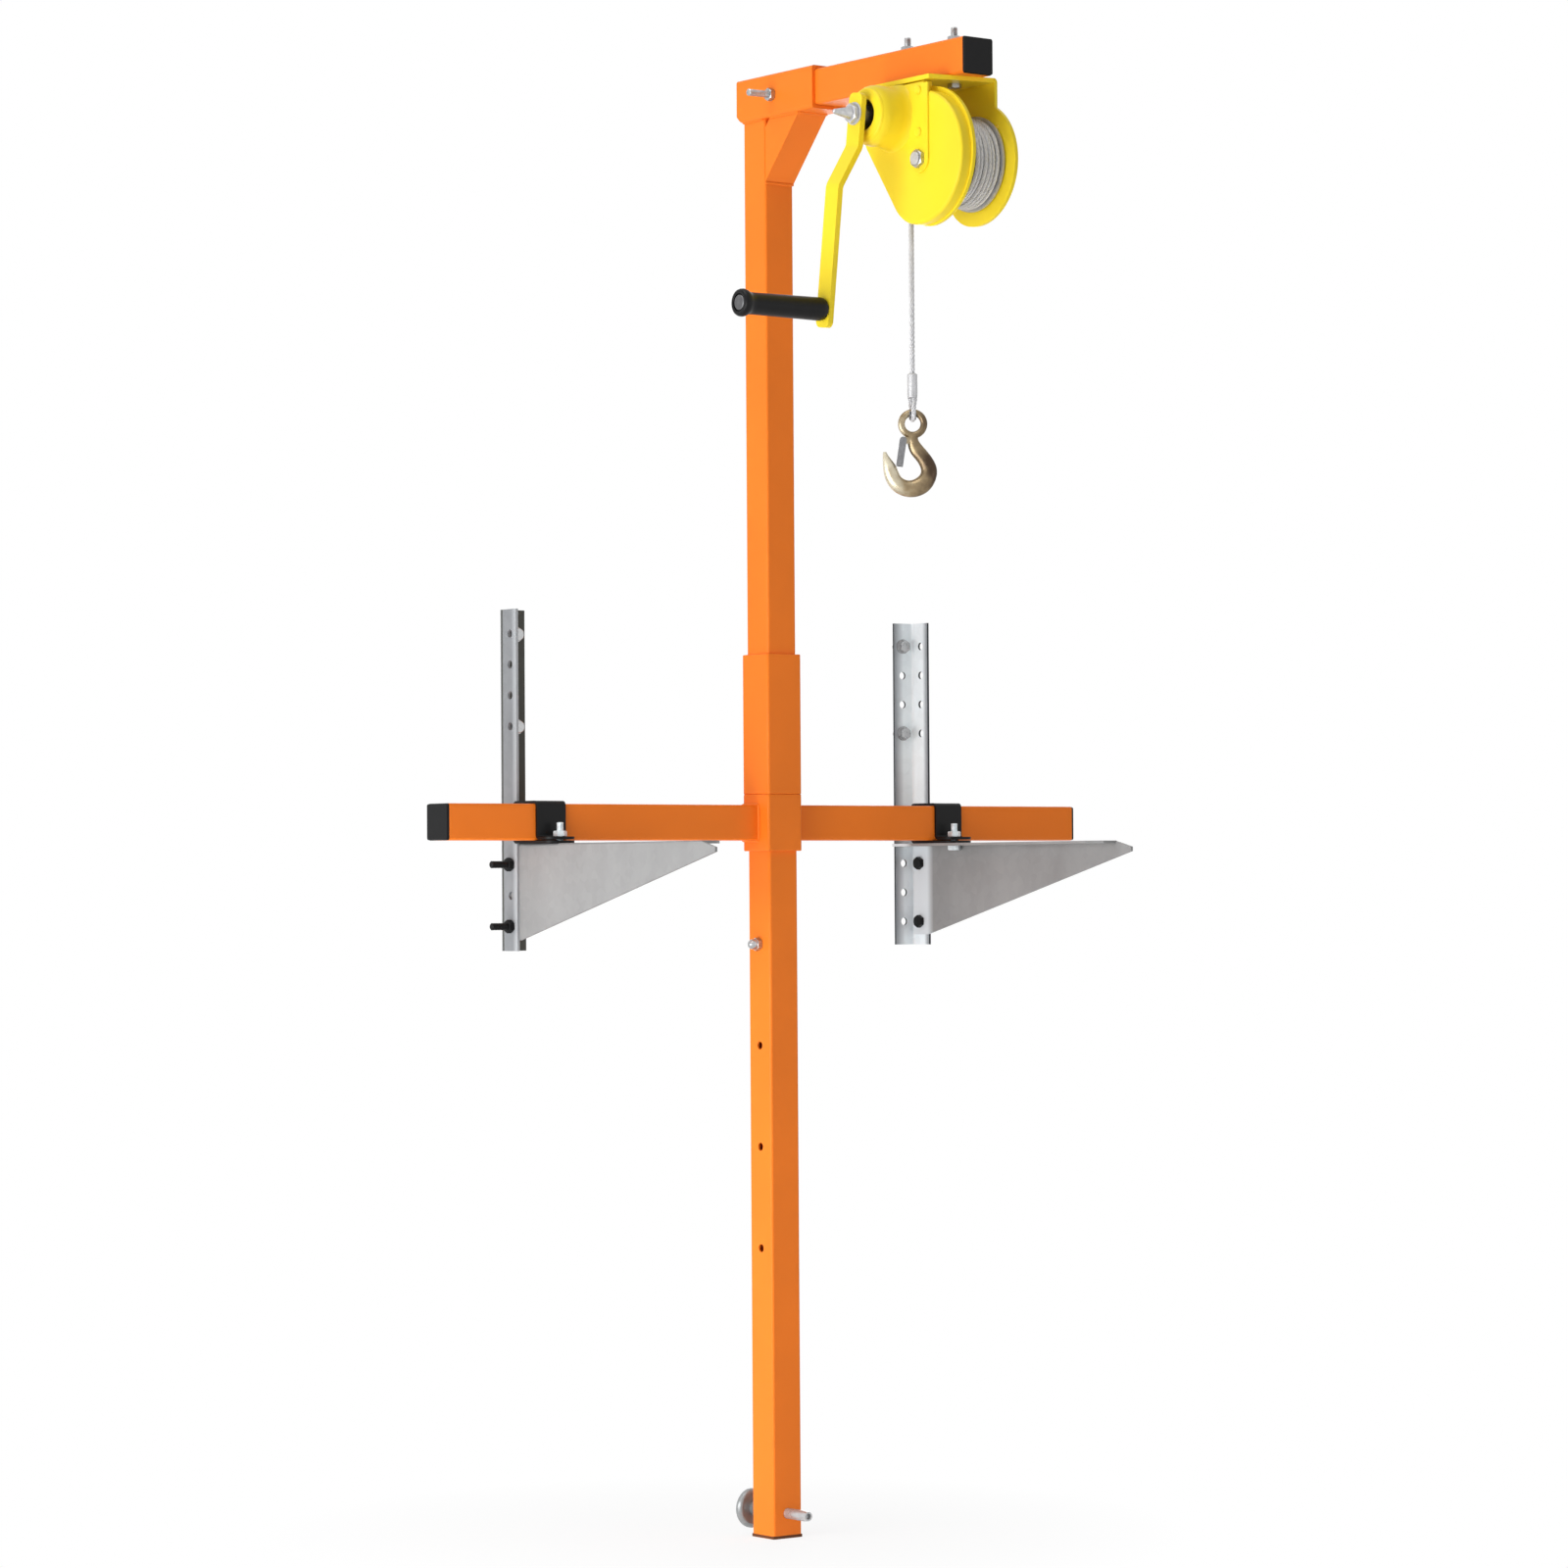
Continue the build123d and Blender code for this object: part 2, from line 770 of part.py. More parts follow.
boom_back = block_back - block_end
with BuildPart() as boom:
    start = along(mast_x, mast_y + boom_back, boom_z, (0, -1, 0))
    square_tube(start, tube, tube_wall, boom_back + boom_front)
    drill(along(mast_x - tube / 2, mast_y - head_bolt_n, boom_z, (1, 0, 0)), m8_hole / 2, tube)
    for bolt_n in winch_bolt_n:
        drill(along(mast_x, mast_y - bolt_n, boom_z - tube / 2, (0, 0, 1)), m8_hole / 2, tube)
boom.part.label = "boom"
export_step(boom.part, "parts/boom.step")

with BuildPart() as boom_cap:
    end_cap(along(mast_x, mast_y - boom_front, boom_z, (0, -1, 0)))
boom_cap.part.label = "boom_cap"
export_step(boom_cap.part, "parts/boom_cap.step")

with BuildPart() as head_bolt:
    bolt_and_nut(
        mast_x + sleeve / 2, mast_y - head_bolt_n, boom_z, (-1, 0, 0),
        m8, m8_flats, m8_head, sleeve, m8_nut, head_bolt_stud,
    )
head_bolt.part.label = "head_bolt"
export_step(head_bolt.part, "parts/head_bolt.step")

# Winch frame
with BuildPart() as winch_frame:
    far = cheek_face(-cheek_outer, (0, 0), cheek_r, cheek_back, neck_front, corner_p, drum_drop)
    extrude(far, amount=cheek_thick)
    near = cheek_face(
        cheek_inner, near_cheek_middle, near_cheek_r, near_cheek_back, near_neck, corner_p, drum_drop
    )
    extrude(near, amount=cheek_thick)
    base_q = drum_drop - base_thick
    with BuildSketch(Plane((mast_x, drum_y, drum_z + base_q))) as base:
        with BuildLine():
            Polyline(
                (cheek_outer, -base_back),
                (-face_off, -base_back),
                (-face_off, -strap_width / 2),
                (cheek_outer, -neck_front),
                close=True,
            )
        make_face()
    extrude(base.sketch, amount=base_thick)
    fillet(edges().filter_by(Axis.Y).group_by(Axis.Z)[-1].sort_by(Axis.X)[-1], base_bend)
    drill(winch_plane(-cheek_outer), axle_r + axle_fit, cheek_thick)
    drill(winch_plane(cheek_inner), stub_r + stub_gap, cheek_thick)
    for off in (-cheek_outer, cheek_inner):
        drill(shaft_plane(off), bush_r, cheek_thick)
    drill(cross_plane(-cheek_outer, *peep_hole), peep_hole_r, cheek_thick)
    for bolt_n in winch_bolt_n:
        drill(along(mast_x, mast_y - bolt_n, drum_z + base_q, (0, 0, 1)), m8_hole / 2, base_thick)
winch_frame.part.label = "winch_frame"
export_step(winch_frame.part, "parts/winch_frame.step")

with BuildPart() as winch_bolts:
    for bolt_n in winch_bolt_n:
        bolt_and_nut(
            mast_x, mast_y - bolt_n, drum_z + base_q, (0, 0, 1),
            m8, m8_flats, m8_head, base_thick + tube, m8_nut, winch_bolt_stud,
        )
winch_bolts.part.label = "winch_bolts"
export_step(winch_bolts.part, "parts/winch_bolts.step")

# Gear cover
cover_top = base_q - cover_top_gap
with BuildPart() as gear_cover:
    shell = cheek_face(
        cheek_outer, cover_middle, cover_r, cover_back, cover_neck, cover_corner_p, cover_top
    )
    extrude(shell, amount=cover_depth)
    fillet(faces().sort_by(Axis.X)[0].edges(), cover_edge)
    boss_side = Plane(shaft_plane(face_off).origin, x_dir=(-1, 0, 0), z_dir=(0, -1, 0))
    with BuildSketch(boss_side) as boss:
        with BuildLine():
            Polyline((-cover_sheet, 0), (-cover_sheet, boss_r + boss_flare), (0, boss_r + boss_flare))
            TangentArc((0, boss_r + boss_flare), (boss_flare, boss_r), tangent=(0, -1))
            Line((boss_flare, boss_r), (boss_depth - boss_edge, boss_r))
            TangentArc((boss_depth - boss_edge, boss_r), (boss_depth, boss_r - boss_edge), tangent=(1, 0))
            Polyline((boss_depth, boss_r - boss_edge), (boss_depth, 0), (-cover_sheet, 0))
        make_face()
    revolve(boss.sketch, axis=Axis(boss_side.origin, (-1, 0, 0)))
    inside = offset(shell, amount=-cover_sheet, mode=Mode.PRIVATE)
    extrude(inside, amount=cover_depth - cover_sheet, mode=Mode.SUBTRACT)
    drill(shaft_plane(cheek_outer), boss_r - cover_sheet, cover_depth + boss_depth - cover_sheet)
    drill(shaft_plane(face_off), boss_hole_r, boss_depth)
    drill(winch_plane(cheek_outer), axle_r + axle_fit, cover_depth)
    for rivet in rivet_q:
        drill(cross_plane(cheek_outer, 0, rivet), rivet_r + rivet_fit, cover_depth)
gear_cover.part.label = "gear_cover"
export_step(gear_cover.part, "parts/gear_cover.step")

with BuildPart() as cover_strap:
    with BuildSketch(winch_plane(face_off)) as strap:
        Circle(strap_width / 2)
        with Locations((0, (cover_top - cover_edge) / 2)):
            Rectangle(strap_width, cover_top - cover_edge)
        Circle(axle_r + axle_fit, mode=Mode.SUBTRACT)
        with Locations(*[(0, rivet) for rivet in rivet_q]):
            Circle(rivet_r + rivet_fit, mode=Mode.SUBTRACT)
        with Locations((pinion_p, pinion_q)):
            Circle(boss_r + boss_flare + cap_gap, mode=Mode.SUBTRACT)
    extrude(strap.sketch, amount=strap_thick)
cover_strap.part.label = "cover_strap"
export_step(cover_strap.part, "parts/cover_strap.step")

with BuildPart() as cover_rivets:
    for rivet in rivet_q:
        start = cross_plane(face_off - cover_sheet, 0, rivet)
        disc(start, rivet_r, cover_sheet + strap_thick)
        disc(start.offset(cover_sheet + strap_thick), rivet_head_r, rivet_head)
    heads = edges().filter_by(GeomType.CIRCLE).group_by(Axis.X)[0]
    fillet(heads, rivet_round)
cover_rivets.part.label = "cover_rivets"
export_step(cover_rivets.part, "parts/cover_rivets.step")

axle_seat = face_off + strap_thick
with BuildPart() as drum_axle:
    hexagon(winch_plane(-cheek_outer - axle_head), axle_flats, axle_head)
    disc(winch_plane(-cheek_outer), axle_r, cheek_outer + axle_seat + axle_nut_thick + axle_end)
    chamfer(faces().sort_by(Axis.X)[0].edges(), end_chamfer)
drum_axle.part.label = "drum_axle"
export_step(drum_axle.part, "parts/drum_axle.step")

with BuildPart() as axle_nut:
    hexagon(winch_plane(axle_seat), axle_flats, axle_nut_thick, axle_r + axle_fit)
axle_nut.part.label = "axle_nut"
export_step(axle_nut.part, "parts/axle_nut.step")

with BuildPart() as pinion_bushes:
    for off, flange_off in ((-cheek_outer, -cheek_inner), (cheek_inner, cheek_inner - bush_flange)):
        disc(shaft_plane(off), bush_r, cheek_thick, shaft_r + shaft_fit)
        disc(shaft_plane(flange_off), bush_flange_r, bush_flange, shaft_r + shaft_fit)
pinion_bushes.part.label = "pinion_bushes"
export_step(pinion_bushes.part, "parts/pinion_bushes.step")

# Drum
drum_half = cheek_inner - drum_side
winding_half = drum_half - drum_flange
gear_off = cheek_outer + gear_side
drum_bore = axle_r + axle_fit + bush_wall
with BuildPart() as drum:
    disc(winch_plane(-drum_half), drum_flange_r, drum_flange)
    disc(winch_plane(-winding_half), drum_core_r, 2 * winding_half)
    disc(winch_plane(winding_half), drum_flange_r, drum_flange)
    disc(winch_plane(drum_half), stub_r, gear_off + gear_width - drum_half)
    drill(winch_plane(-drum_half), drum_bore, 2 * face_off)
drum.part.label = "drum"
export_step(drum.part, "parts/drum.step")

with BuildPart() as drum_bushes:
    for off in (-drum_half, gear_off + gear_width - bush_length):
        disc(winch_plane(off), drum_bore, bush_length, axle_r + axle_fit)
drum_bushes.part.label = "drum_bushes"
export_step(drum_bushes.part, "parts/drum_bushes.step")

with BuildPart() as drive_gear:
    half_step = math.pi / gear_teeth
    with BuildSketch(winch_plane(gear_off)) as wheel:
        Polygon(*gear_points(gear_teeth, math.radians(gear_angle) + half_step), align=None)
        Circle(stub_r, mode=Mode.SUBTRACT)
    extrude(wheel.sketch, amount=gear_width)
drive_gear.part.label = "drive_gear"
export_step(drive_gear.part, "parts/drive_gear.step")

with BuildPart() as rope_core:
    disc(winch_plane(-winding_half), rope_radius - rope_d / 2 - core_gap, 2 * winding_half, drum_core_r)
rope_core.part.label = "rope_core"
export_step(rope_core.part, "parts/rope_core.step")


def rope_place(turn):
    """Point on the rope's winding, a turn of nought being where the rope leaves."""
    return Vector(
        mast_x - rope_off + rope_pitch * turn / (2 * math.pi),
        drum_y + rope_radius * math.cos(turn),
        drum_z + rope_radius * math.sin(turn),
    )


half_turns = [math.pi * step for step in range(2 * rope_turns, 0, -1)]
rope_line = [(rope_place(turn), heading(rope_place, turn, -math.pi)) for turn in half_turns]
rope_line.append((rope_place(0.0), Vector(0, 0, -1)))
with BuildPart() as rope_winding:
    first, first_way = rope_line[0]
    last, last_way = rope_line[-1]
    with BuildLine():
        Line(first - first_way * rope_d, first)
        coil(rope_line)
        Line(last, last + last_way * rope_d)
    with BuildSketch(Plane(first - first_way * rope_d, z_dir=first_way)):
        RegularPolygon(rope_d / 2, rope_sides)
    sweep()
rope_winding.part.label = "rope_winding"
export_step(rope_winding.part, "parts/rope_winding.step")
print("least gap between rope loops", round(least_gap(rope_place, rope_turns, rope_d), 3))

# Crank shaft and brake
with BuildPart() as pinion_shaft:
    disc(shaft_plane(-cheek_outer - shaft_collar), shaft_collar_r, shaft_collar)
    disc(shaft_plane(-cheek_outer), shaft_r, cheek_outer + shaft_end)
    with BuildSketch(shaft_plane(gear_off - pinion_extra)) as teeth:
        Polygon(*gear_points(pinion_teeth, math.radians(gear_angle) + math.pi), align=None)
    extrude(teeth.sketch, amount=gear_width + 2 * pinion_extra)
    chamfer(faces().sort_by(Axis.X)[0].edges(), end_chamfer)
pinion_shaft.part.label = "pinion_shaft"
export_step(pinion_shaft.part, "parts/pinion_shaft.step")

with BuildPart() as brake_hub:
    disc(shaft_plane(hub_off), hub_flange_r, hub_flange, shaft_r)
    disc(shaft_plane(lining_off), hub_r, press_off - lining_off, shaft_r)
brake_hub.part.label = "brake_hub"
export_step(brake_hub.part, "parts/brake_hub.step")

with BuildPart() as friction_discs:
    for off in (lining_off, second_off):
        disc(shaft_plane(off), lining_r, lining, hub_r + bore_fit)
friction_discs.part.label = "friction_discs"
export_step(friction_discs.part, "parts/friction_discs.step")

with BuildPart() as ratchet_wheel:
    with BuildSketch(shaft_plane(ratchet_off)):
        Polygon(*ratchet_points(), align=None)
        Circle(hub_r + bore_fit, mode=Mode.SUBTRACT)
    extrude(amount=ratchet_width)
ratchet_wheel.part.label = "ratchet_wheel"
export_step(ratchet_wheel.part, "parts/ratchet_wheel.step")

with BuildPart() as crank_hub:
    disc(shaft_plane(press_off), press_flange_r, press_flange, shaft_r)
    disc(shaft_plane(press_off + press_flange), crank_hub_r, crank_off - press_off - press_flange, shaft_r)
crank_hub.part.label = "crank_hub"
export_step(crank_hub.part, "parts/crank_hub.step")

# Pawl
pawl_turn = math.radians(gear_angle)
pawl_p = pawl_radius * math.cos(pawl_turn)
pawl_q = pawl_radius * math.sin(pawl_turn)
pawl_off = ratchet_off + (ratchet_width - pawl_width) / 2


def pawl_plane(off):
    """Plane across the pawl pin."""
    return cross_plane(off, pinion_p + pawl_p, pinion_q + pawl_q)


with BuildPart() as pawl:
    tip_turn = pawl_turn - math.radians(pawl_tip_turn)
    low_r = ratchet_r + pawl_gap
    tip_low = (low_r * math.cos(tip_turn), low_r * math.sin(tip_turn))
    high_r = low_r + pawl_tip_height
    tip_high = (high_r * math.cos(tip_turn), high_r * math.sin(tip_turn))
    outer_r = pawl_radius + pawl_boss_r
    with BuildSketch(shaft_plane(pawl_off)):
        with BuildLine():
            heel = (low_r * math.cos(pawl_turn), low_r * math.sin(pawl_turn))
            shoulder = (outer_r * math.cos(pawl_turn), outer_r * math.sin(pawl_turn))
            Polyline(heel, shoulder, tip_high, tip_low, close=True)
        make_face()
        with Locations((pawl_p, pawl_q)):
            Circle(pawl_boss_r)
        Circle(low_r, mode=Mode.SUBTRACT)
        with Locations((pawl_p, pawl_q)):
            Circle(pawl_pin_r + pawl_fit, mode=Mode.SUBTRACT)
    extrude(amount=pawl_width)
pawl.part.label = "pawl"
export_step(pawl.part, "parts/pawl.step")

with BuildPart() as pawl_pin:
    disc(pawl_plane(cheek_outer), pawl_pin_r, pawl_off + pawl_width + pawl_pin_end - cheek_outer)
pawl_pin.part.label = "pawl_pin"
export_step(pawl_pin.part, "parts/pawl_pin.step")

spring_off = pawl_off - spring_pitch * spring_turns - 3 * spring_wire


def spring_place(turn):
    """Point on the pawl spring."""
    start = pawl_plane(spring_off).origin
    return start + Vector(
        -spring_pitch * turn / (2 * math.pi), -spring_r * math.cos(turn), spring_r * math.sin(turn)
    )


quarter_turns = [math.pi / 2 * step for step in range(4 * spring_turns + 1)]
spring_line = [(spring_place(turn), heading(spring_place, turn, math.pi)) for turn in quarter_turns]
with BuildPart() as pawl_spring:
    first, first_way = spring_line[0]
    last, last_way = spring_line[-1]
    with BuildLine():
        Line(first - first_way * spring_wire, first)
        coil(spring_line)
        Line(last, last + last_way * spring_wire)
    with BuildSketch(Plane(first - first_way * spring_wire, z_dir=first_way)):
        RegularPolygon(spring_wire / 2, 6)
    sweep()
pawl_spring.part.label = "pawl_spring"
export_step(pawl_spring.part, "parts/pawl_spring.step")
print("least gap between spring loops", round(least_gap(spring_place, spring_turns, spring_wire), 3))

# Crank
up_y = -math.sin(crank_lean)
up_z = math.cos(crank_lean)
shaft_y = drum_y - pinion_p
shaft_z = drum_z + pinion_q
grip_y = shaft_y - crank_radius * up_y
grip_z = shaft_z - crank_radius * up_z
bar_inner = crank_off + joggle
bar_outer = bar_inner + crank_thick

with BuildPart() as crank_arm:
    side_view = Plane((mast_x, shaft_y, shaft_z), x_dir=(-1, 0, 0), z_dir=(0, up_z, -up_y))
    hub_mid = crank_off + crank_thick / 2
    with BuildSketch(side_view):
        with BuildLine():
            FilletPolyline(
                (hub_mid, crank_top),
                (hub_mid, -joggle_start),
                (hub_mid + joggle, -joggle_end),
                (hub_mid + joggle, -crank_radius - crank_end),
                radius=crank_bend,
            )
        trace(line_width=crank_thick)
    extrude(amount=crank_width / 2, both=True)
    front_view = Plane((mast_x - crank_off, shaft_y, shaft_z), x_dir=(0, -up_z, up_y), z_dir=(-1, 0, 0))
    bar_span = crank_top + crank_radius + crank_end
    with BuildSketch(front_view):
        with Locations((0, crank_top - bar_span / 2)):
            RectangleRounded(crank_width, bar_span, crank_corner)
    extrude(amount=joggle + crank_thick, mode=Mode.INTERSECT)
    drill(shaft_plane(crank_off), shaft_r, crank_thick)
    drill(along(mast_x - bar_inner, grip_y, grip_z, (-1, 0, 0)), m10 / 2, crank_thick)
crank_arm.part.label = "crank_arm"
export_step(crank_arm.part, "parts/crank_arm.step")

with BuildPart() as crank_nut_piece:
    disc(shaft_plane(crank_off + crank_thick), crank_collar_r, crank_collar, shaft_r)
    hexagon(shaft_plane(crank_off + crank_thick + crank_collar), crank_flats, crank_nut, shaft_r)
crank_nut_piece.part.label = "crank_nut"
export_step(crank_nut_piece.part, "parts/crank_nut.step")

with BuildPart() as grip_bolt:
    start = along(mast_x - bar_inner + peen, grip_y, grip_z, (-1, 0, 0))
    disc(start, peen_r, peen)
    head_start = peen + crank_thick + grip_length - grip_recess + 2 * grip_gap
    disc(start, m10 / 2, head_start)
    disc(start.offset(head_start), grip_head_r, grip_head)
    fillet(faces().sort_by(Axis.X)[0].edges(), grip_head / 2)
grip_bolt.part.label = "grip_bolt"
export_step(grip_bolt.part, "parts/grip_bolt.step")

with BuildPart() as grip:
    start = Plane(
        (mast_x - bar_outer - grip_gap, grip_y, grip_z), x_dir=(-1, 0, 0), z_dir=(0, -1, 0)
    )
    bore = m10 / 2 + grip_bore_fit
    with BuildSketch(start):
        with BuildLine():
            FilletPolyline(
                (0, bore),
                (0, grip_nose_r),
                (grip_nose, grip_neck_r),
                (2 * grip_nose, grip_neck_r),
                (grip_swell, grip_r),
                (grip_length - grip_swell, grip_r),
                (grip_length - grip_swell / 2, grip_butt_r),
                (grip_length - grip_edge, grip_butt_r),
                (grip_length, grip_butt_r - grip_edge),
                (grip_length, grip_head_r + recess_gap),
                (grip_length - grip_recess, grip_head_r + recess_gap),
                (grip_length - grip_recess, bore),
                radius=grip_round,
            )
            Line((grip_length - grip_recess, bore), (0, bore))
        make_face()
    revolve(axis=Axis(start.origin, (-1, 0, 0)))
grip.part.label = "grip"
export_step(grip.part, "parts/grip.step")

# Rope end
rope_x = mast_x - rope_off
rope_y = drum_y + rope_radius
leg_rise = math.sqrt((leg_bend + loop_r) ** 2 - (leg_n + leg_bend) ** 2)
loop_z = ring_z + ring_mid
leg_z = loop_z + leg_rise
ferrule_z = leg_z + rope_d
drop_top = drum_z - rope_d
with BuildPart() as rope_drop:
    drop_z = ferrule_z + ferrule_length
    disc(Plane((rope_x, rope_y, drop_z)), rope_d / 2, drop_top - drop_z)
rope_drop.part.label = "rope_drop"
export_step(rope_drop.part, "parts/rope_drop.step")

with BuildPart() as ferrule:
    disc(Plane((rope_x, rope_y, ferrule_z)), ferrule_r, ferrule_length)
    fillet(edges().filter_by(GeomType.CIRCLE), ferrule_edge)
ferrule.part.label = "ferrule"
export_step(ferrule.part, "parts/ferrule.step")

turn = math.radians(hook_turn)
across = (math.cos(turn), math.sin(turn), 0)
outward = (math.sin(turn), -math.cos(turn), 0)
loop_plane = Plane((rope_x, rope_y, loop_z), x_dir=outward, z_dir=(-across[0], -across[1], 0))
with BuildPart() as rope_eye:
    lean = math.atan2(leg_rise, leg_n + leg_bend)
    touch_n = loop_r * math.cos(lean)
    touch_z = loop_r * math.sin(lean)
    bend_n = leg_n + leg_bend - leg_bend * math.cos(lean / 2)
    bend_z = leg_rise - leg_bend * math.sin(lean / 2)
    with BuildLine(loop_plane):
        Line((leg_n, leg_rise + rope_d), (leg_n, leg_rise))
        ThreePointArc((leg_n, leg_rise), (bend_n, bend_z), (touch_n, touch_z))
        ThreePointArc((touch_n, touch_z), (loop_r, 0), (0, -loop_r))
        ThreePointArc((0, -loop_r), (-loop_r, 0), (-touch_n, touch_z))
        ThreePointArc((-touch_n, touch_z), (-bend_n, bend_z), (-leg_n, leg_rise))
        Line((-leg_n, leg_rise), (-leg_n, leg_rise + rope_d))
    leg_top = Vector(rope_x, rope_y, ferrule_z) + Vector(outward) * leg_n
    with BuildSketch(Plane(leg_top, z_dir=(0, 0, -1))):
        RegularPolygon(rope_d / 2, rope_sides)
    sweep()
rope_eye.part.label = "rope_eye"
export_step(rope_eye.part, "parts/rope_eye.step")

with BuildPart() as thimble:
    groove = rope_d / 2 + thimble_fit
    section_plane = Plane((rope_x, rope_y, loop_z), x_dir=across, z_dir=outward)
    with BuildSketch(section_plane):
        with Locations((0, -loop_r)):
            Circle(groove + thimble_sheet)
            Circle(groove, mode=Mode.SUBTRACT)
        with Locations((0, -loop_r - groove)):
            Rectangle(4 * groove, 2 * groove, mode=Mode.SUBTRACT)
    loop_axis = Axis((rope_x, rope_y, loop_z), across)
    revolve(axis=loop_axis, revolution_arc=thimble_arc / 2)
    mirror(about=section_plane)
thimble.part.label = "thimble"
export_step(thimble.part, "parts/thimble.step")

# Hook
hook_plane = Plane((rope_x, rope_y, ring_z), x_dir=across, z_dir=outward)
# Each station is the inner edge, the outer edge and half the thickness of the hook
hook_stations = (
    ((-6.0, -13.0), (6.0, -13.0), 3.6),
    ((-5.5, -21.0), (7.5, -20.0), 4.8),
    ((-2.5, -31.5), (14.0, -28.0), 5.0),
    ((5.0, -41.5), (23.0, -40.5), 6.2),
    ((8.6, -50.0), (26.2, -52.0), 7.0),
    ((5.2, -57.5), (19.0, -70.5), 7.4),
    ((-3.7, -61.1), (-2.0, -79.6), 7.4),
    ((-12.5, -57.5), (-22.5, -71.5), 7.0),
    ((-16.6, -49.5), (-31.0, -56.0), 6.4),
    ((-20.2, -42.5), (-32.4, -44.5), 5.4),
    ((-25.5, -35.5), (-32.6, -36.0), 3.4),
    ((-28.6, -30.4), (-32.0, -30.2), 1.6),
)


def hook_point(u, w):
    """Point in the plane of the hook."""
    return hook_plane.from_local_coords(Vector(u, w, 0))


with BuildPart() as hook:
    for inner, outer, half_thick in hook_stations:
        start, stop = hook_point(*inner), hook_point(*outer)
        way = (stop - start).normalized()
        flow = way.cross(Vector(outward)) * -1
        with BuildSketch(Plane((start + stop) * 0.5, x_dir=way, z_dir=flow)):
            Ellipse((stop - start).length / 2, half_thick)
    loft()
    with BuildSketch(Plane((rope_x, rope_y, ring_z), x_dir=across, z_dir=(0, 0, 1))) as tube_face:
        with Locations((ring_mid, 0)):
            Circle(ring_tube)
    revolve(tube_face.sketch, axis=Axis(hook_plane.origin, outward))
    lug = Plane(hook_point(latch_u, latch_w) - Vector(outward) * latch_lug, x_dir=across, z_dir=outward)
    with BuildSketch(lug) as lug_face:
        Circle(latch_lug_r)
        with Locations((-latch_u / 2, 0)):
            Rectangle(-latch_u, 2 * latch_lug_r)
        Circle(latch_pin_r, mode=Mode.SUBTRACT)
    extrude(lug_face.sketch, amount=2 * latch_lug)
hook.part.label = "hook"
export_step(hook.part, "parts/hook.step")

latch_half = latch_inside + latch_sheet
with BuildPart() as latch_pin:
    start = Plane(hook_point(latch_u, latch_w) - Vector(outward) * latch_half, x_dir=across, z_dir=outward)
    disc(start, latch_pin_r, 2 * latch_half)
latch_pin.part.label = "latch_pin"
export_step(latch_pin.part, "parts/latch_pin.step")

with BuildPart() as latch:
    slant = math.radians(latch_lean)
    down = hook_plane.from_local_coords(Vector(-math.sin(slant), -math.cos(slant), 0)) - hook_plane.origin
    front = Plane(hook_point(latch_u, latch_w), x_dir=down, z_dir=outward)
    with BuildSketch(front):
        Circle(latch_depth / 2)
        with Locations((latch_reach / 2, 0)):
            Rectangle(latch_reach, latch_depth)
    extrude(amount=latch_half, both=True)
    with BuildSketch(front):
        with Locations((latch_reach / 2, latch_sheet)):
            Rectangle(latch_reach + 2 * latch_depth, latch_depth)
    extrude(amount=latch_inside, both=True, mode=Mode.SUBTRACT)
    with BuildSketch(front):
        with Locations((latch_web_start - latch_depth, 0)):
            Rectangle(2 * latch_depth, 2 * latch_depth)
    extrude(amount=latch_inside, both=True, mode=Mode.SUBTRACT)
    with BuildSketch(front):
        Circle(latch_pin_r + latch_fit)
    extrude(amount=2 * latch_half, both=True, mode=Mode.SUBTRACT)
latch.part.label = "latch"
export_step(latch.part, "parts/latch.step")
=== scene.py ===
import json
import math

import bpy
from bpy.props import FloatProperty, FloatVectorProperty, IntProperty, PointerProperty
from mathutils import Matrix, Vector


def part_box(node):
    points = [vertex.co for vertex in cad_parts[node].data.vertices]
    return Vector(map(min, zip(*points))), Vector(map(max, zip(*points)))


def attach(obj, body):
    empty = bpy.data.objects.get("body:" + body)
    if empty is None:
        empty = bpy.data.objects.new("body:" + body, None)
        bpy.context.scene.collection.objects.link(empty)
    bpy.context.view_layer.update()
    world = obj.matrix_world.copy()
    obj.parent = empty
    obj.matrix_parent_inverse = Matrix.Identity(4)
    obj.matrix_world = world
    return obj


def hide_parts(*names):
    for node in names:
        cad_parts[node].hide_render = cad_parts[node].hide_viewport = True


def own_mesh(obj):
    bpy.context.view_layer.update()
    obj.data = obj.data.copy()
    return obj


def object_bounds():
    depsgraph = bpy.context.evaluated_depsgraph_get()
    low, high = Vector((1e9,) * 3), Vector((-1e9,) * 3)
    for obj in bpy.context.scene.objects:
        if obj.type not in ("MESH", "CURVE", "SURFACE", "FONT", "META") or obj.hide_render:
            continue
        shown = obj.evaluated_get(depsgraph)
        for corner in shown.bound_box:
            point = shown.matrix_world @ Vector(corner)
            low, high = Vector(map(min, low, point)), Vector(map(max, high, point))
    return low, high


bl_info = {
    "name": "Air conditioner hoist",
    "version": (1, 0, 0),
    "blender": (4, 5, 0),
    "location": "View3D > Sidebar > Hoist",
    "description": "Finishes the hoist: paint, metal, rope, fasteners, welds and stage",
    "category": "Add Mesh",
}

